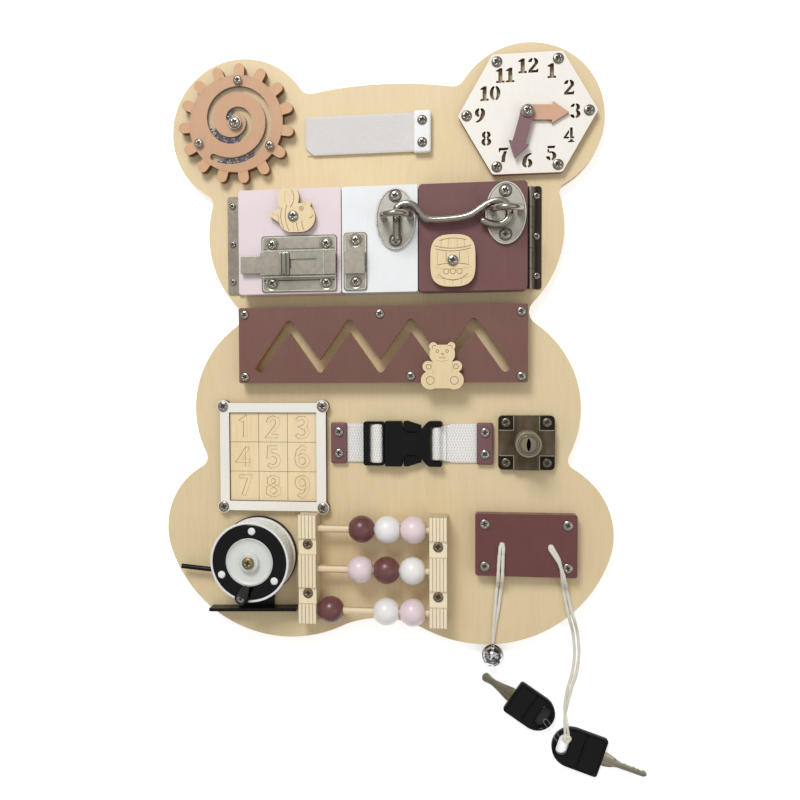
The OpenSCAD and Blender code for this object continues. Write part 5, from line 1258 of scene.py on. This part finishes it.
for n, (x, row, mt) in BEADS.items():
    lo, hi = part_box(n)
    half = (hi[0] - lo[0]) / 2 / MM
    prof = [(3.05, -half + 1.2), (3.15, -half + 0.3), (3.7, -half + 0.02)]
    a0 = math.degrees(math.asin(4.15 / 10.2))
    a1 = 180 - a0
    for i in range(33):
        a = math.radians(a0 + (a1 - a0) * i / 32)
        prof.append((10.2 * math.sin(a), -10.2 * math.cos(a)))
    prof += [(3.7, half - 0.02), (3.15, half - 0.3), (3.05, half - 1.2), (3.05, -half + 1.2)]
    lathe(n + "_turned", prof, (x, ROWS[row], T + 14), M[mt], n, (n,), axis="x", segs=56, sharp=50)

# ------------------------------------------------------------------ cord plate, bell, keys
remake("cord_plate", M["mauve_plate"], 1.1, 30, 4)
# the bell's chrome colour holds painted reflection and painted shade
bell = remake("bell", M["bell"], 0.0, sharp=50)


def key(name, hx, hy, ang, w, ln, bl, body="board", replaces=(), flip=1, waist=False):
    """Moulded key head with a raised rim, and a flat metal blade."""
    e = ln - 8
    r = w / 2
    cx = r - 8

    def ring(ins):
        out = []
        rr = r - ins
        for i in range(25):
            a = math.radians(90 + 180 * i / 24)
            out.append((cx + rr * math.cos(a), rr * math.sin(a)))
        q = max(0.5, 2.2 - ins)
        ex = e - ins
        for i in range(6):
            a = math.radians(-90 + 90 * i / 5)
            out.append((ex - q + q * math.cos(a), -rr + q + q * math.sin(a)))
        for i in range(6):
            a = math.radians(0 + 90 * i / 5)
            out.append((ex - q + q * math.cos(a), rr - q + q * math.sin(a)))
        return out
    hole = []
    for i in range(49):
        pass
    levels = [(0.5, 0.2), (0.0, 0.7), (0.0, 4.6), (0.35, 5.1), (0.8, 5.25), (1.4, 5.2), (1.9, 4.9), (2.1, 4.5), (2.5, 4.35)]
    m = len(ring(0))
    vs, fs = [], []
    for ins, z in levels:
        vs += [(x, y, z) for x, y in ring(ins)]
    for j in range(len(levels) - 1):
        for i in range(m):
            i2 = (i + 1) % m
            fs.append((j * m + i, j * m + i2, (j + 1) * m + i2, (j + 1) * m + i))
    ca, sa = math.cos(math.radians(ang)), math.sin(math.radians(ang))
    me = bpy.data.meshes.new(name)
    bm = bmesh.new()
    bv = [bm.verts.new(v) for v in vs]
    for q in fs:
        bm.faces.new([bv[i] for i in q])
    # the long hole with its own lip
    def oval(dr):
        out = []
        for s, a0 in ((1, 0), (-1, 180)):
            for i in range(13):
                a = math.radians(a0 + 180 * i / 12)
                out.append(((4 + dr) * math.cos(a), s * 4 + (4 + dr) * math.sin(a)))
        return out
    hl = [(1.3, 4.35), (1.0, 4.75), (0.4, 4.9), (0.0, 4.5), (0.0, 0.6), (0.5, 0.2)]
    hv = []
    for dr, z in hl:
        hv.append([bm.verts.new((x, y, z)) for x, y in oval(dr)])
    for a, b in zip(hv, hv[1:]):
        for i in range(len(a)):
            i2 = (i + 1) % len(a)
            bm.faces.new((a[i], b[i], b[i2], a[i2]))
    top_o = [bv[(len(levels) - 1) * m + i] for i in range(m)]
    bot_o = [bv[i] for i in range(m)]
    for outer, inner in ((top_o, hv[0]), (bot_o, hv[-1])):
        es = []
        for loop_ in (outer, inner):
            for i in range(len(loop_)):
                a, b = loop_[i], loop_[(i + 1) % len(loop_)]
                es.append(bm.edges.get((a, b)) or bm.edges.new((a, b)))
        bmesh.ops.triangle_fill(bm, edges=es, use_beauty=True, use_dissolve=False)
    # ridge across the head
    x0, yy = e - 15.5, r - 2.4
    for dx, h in ((0.0, 0.5),):
        rv = []
        for x, z in ((x0 - 1.0, 4.3), (x0 - 0.5, 5.15), (x0 + 0.3, 5.15), (x0 + 0.7, 4.3)):
            rv.append([bm.verts.new((x, y, z if abs(y) < yy - 0.3 else 4.3)) for y in (-yy, -yy + 0.5, 0, yy - 0.5, yy)])
        for a, b in zip(rv, rv[1:]):
            for i in range(4):
                bm.faces.new((a[i], b[i], b[i + 1], a[i + 1]))
    for v_ in bm.verts:
        x, y, z = v_.co
        v_.co = Vector((hx + x * ca - y * sa, hy + x * sa + y * ca, z)) * MM
    bmesh.ops.recalc_face_normals(bm, faces=bm.faces)
    bm.to_mesh(me)
    bm.free()
    head = link(name + "_head", me, M["black_gloss"], body, replaces, 40)
    if waist:
        web = [(0.0, 0.0, 1.3)] + [(4.1 * math.cos(math.pi * i / 12), (4 if i < 12 else -4) + 4.1 * math.sin(math.pi * i / 12), 1.3) for i in range(24)]
        web += [(x, y, 0.5) for x, y, z in web]
        wf = [(0, 1 + i, 1 + (i + 1) % 24) for i in range(24)] + [(25, 26 + (i + 1) % 24, 26 + i) for i in range(24)] + [(1 + i, 26 + i, 26 + (i + 1) % 24, 1 + (i + 1) % 24) for i in range(24)]
        web = [(hx + x * ca - y * sa, hy + x * sa + y * ca, z) for x, y, z in web]
        make(name + "_web", web, wf, M["grey_lever"], body, sharp=40)
    # blade
    if waist:
        half = lambda s: 5.3 - 1.9 * max(0, min(1, (s - 0.12) / 0.3)) - 1.0 * max(0, min(1, (s - 0.42) / 0.2)) + 0.9 * math.exp(-((s - 0.9) / 0.12) ** 2)
    else:
        half = lambda s: 5.2 - 1.2 * max(0, min(1, (s - 0.1) / 0.16)) - 1.3 * max(0, min(1, (s - 0.24) / 0.1)) - 0.5 * s
    xs = lin_steps(0, bl - 2.2, 1.1) + [bl - 1.6, bl - 0.9, bl - 0.35, bl]
    vs, fs = [], []
    cut = random.Random(name)
    for i, x in enumerate(xs):
        h = half(x / bl)
        if x > bl - 2.3:
            q = (x - (bl - 2.3)) / 2.3
            h *= math.sqrt(max(0.02, 1 - q * q))
        notch = 0.0 if waist or x < bl * 0.36 or x > bl - 2.5 else 0.9 * abs(math.sin(x * 0.9 + cut.uniform(0, 0.8)))
        for y, z in ((-h, 1.7), (-h + 0.25, 1.5), (h - 0.25 - notch, 1.5), (h - notch, 1.7), (h - notch, 3.5), (h - 0.25 - notch, 3.7), (0.9, 3.7), (0.75, 3.35), (-0.75, 3.35), (-0.9, 3.7), (-h + 0.25, 3.7), (-h, 3.5)):
            vs.append((e - 0.6 + x, y, z))
    k = 12
    for i in range(len(xs) - 1):
        for j in range(k):
            j2 = (j + 1) % k
            fs.append((i * k + j, i * k + j2, (i + 1) * k + j2, (i + 1) * k + j))
    fs.append(tuple(range(k))[::-1])
    fs.append(tuple((len(xs) - 1) * k + j for j in range(k)))
    vs = [(hx + x * ca - y * sa, hy + x * sa + y * ca, z) for x, y, z in vs]
    blade = make(name + "_blade", vs, fs, M["key_blade"], body, sharp=40)
    return [head, blade]


keys = key("key_right", 135.2, -298.4, -18, 30.4, 38.7, 34, replaces=("keys",))
key("key_left", 120.6, -278.4, 146.5, 26.8, 35.6, 27, waist=True)
# wire link through both heads
ring = []
c = Vector((127.9, -288.4))
d = (Vector((135.2, -298.4)) - Vector((120.6, -278.4))).normalized()
nrm2 = Vector((-d.y, d.x))
for cu, a0 in ((9.3, -90), (-9.3, 90)):
    for i in range(13):
        a = math.radians(a0 + 180 * i / 12)
        p = c + d * (cu + 1.7 * math.cos(a)) + nrm2 * 1.7 * math.sin(a)
        ring.append(Vector((p.x, p.y, 5.5)))
ring.append(ring[0])
v, f = tube(ring, 0.4, 8, cap=False)
keys.append(make("key_link", v, f, M["nylon"], "board", sharp=80))
# knot of the long cord on the right key
kp = []
for i in range(37):
    a = 2 * math.pi * i / 36
    kp.append(Vector((137.9 + 1.9 * math.cos(2 * a) * (1.0 + 0.3 * math.cos(3 * a)), -292.8 + 1.9 * math.sin(2 * a) * (1.0 + 0.3 * math.cos(3 * a)), 6.9 + 0.8 * math.sin(3 * a))))
v, f = tube(kp, 1.2, 10, cap=False)
keys.append(make("key_knot", v, f, M["cord"], "board", sharp=80))
declare_cord(BELL_ROUTE)
declare_cord(KEY_ROUTE)

# ------------------------------------------------------------------ floor and light
fl = Mat("studio_floor", 0.9)
fl.color(fl.ramp(fl.noise(3, 2, 0.5), (0.3, lin((247, 247, 247))), (0.7, lin((251, 251, 251)))))
fl.b.inputs["Emission Color"].default_value = (1, 1, 1, 1)
fl.b.inputs["Emission Strength"].default_value = 0.5
me = bpy.data.meshes.new("studio_floor")
me.from_pydata([(-6, -6, -0.0004), (6, -6, -0.0004), (6, 6, -0.0004), (-6, 6, -0.0004)], [], [(0, 1, 2, 3)])
me.materials.append(fl.m)
floor = bpy.data.objects.new("studio_floor", me)
SC.collection.objects.link(floor)

world = bpy.data.worlds.new("studio")
SC.world = world
world.use_nodes = True
wn = world.node_tree
wn.nodes.clear()
wo = wn.nodes.new("ShaderNodeOutputWorld")
bg = wn.nodes.new("ShaderNodeBackground")
tcw = wn.nodes.new("ShaderNodeTexCoord")
sep = wn.nodes.new("ShaderNodeSeparateXYZ")
wn.links.new(tcw.outputs["Generated"], sep.inputs[0])
rampw = wn.nodes.new("ShaderNodeValToRGB")
rampw.color_ramp.elements[0].position = 0.0
rampw.color_ramp.elements[0].color = (0.12, 0.12, 0.12, 1)
rampw.color_ramp.elements[1].position = 0.82
rampw.color_ramp.elements[1].color = (1, 0.985, 0.955, 1)
wn.links.new(sep.outputs[2], rampw.inputs[0])
wn.links.new(rampw.outputs[0], bg.inputs[0])
bg.inputs["Strength"].default_value = 0.63
wn.links.new(bg.outputs[0], wo.inputs[0])


def area(name, loc, target, size, power, color=(1, 1, 1)):
    d = bpy.data.lights.new(name, "AREA")
    d.shape = "RECTANGLE"
    d.size, d.size_y = size
    d.energy = power
    d.color = color
    o = bpy.data.objects.new(name, d)
    SC.collection.objects.link(o)
    o.location = loc
    o.rotation_euler = (Vector(target) - Vector(loc)).to_track_quat("-Z", "Y").to_euler()
    return o


area("key_softbox", (-0.3, 0.95, 1.15), (0, 0, 0), (0.5, 0.5), 12.5, (0.975, 0.99, 1))
area("fill_softbox", (0.95, -0.25, 1.1), (0, 0, 0), (0.6, 1.0), 1.6, (0.97, 0.985, 1))
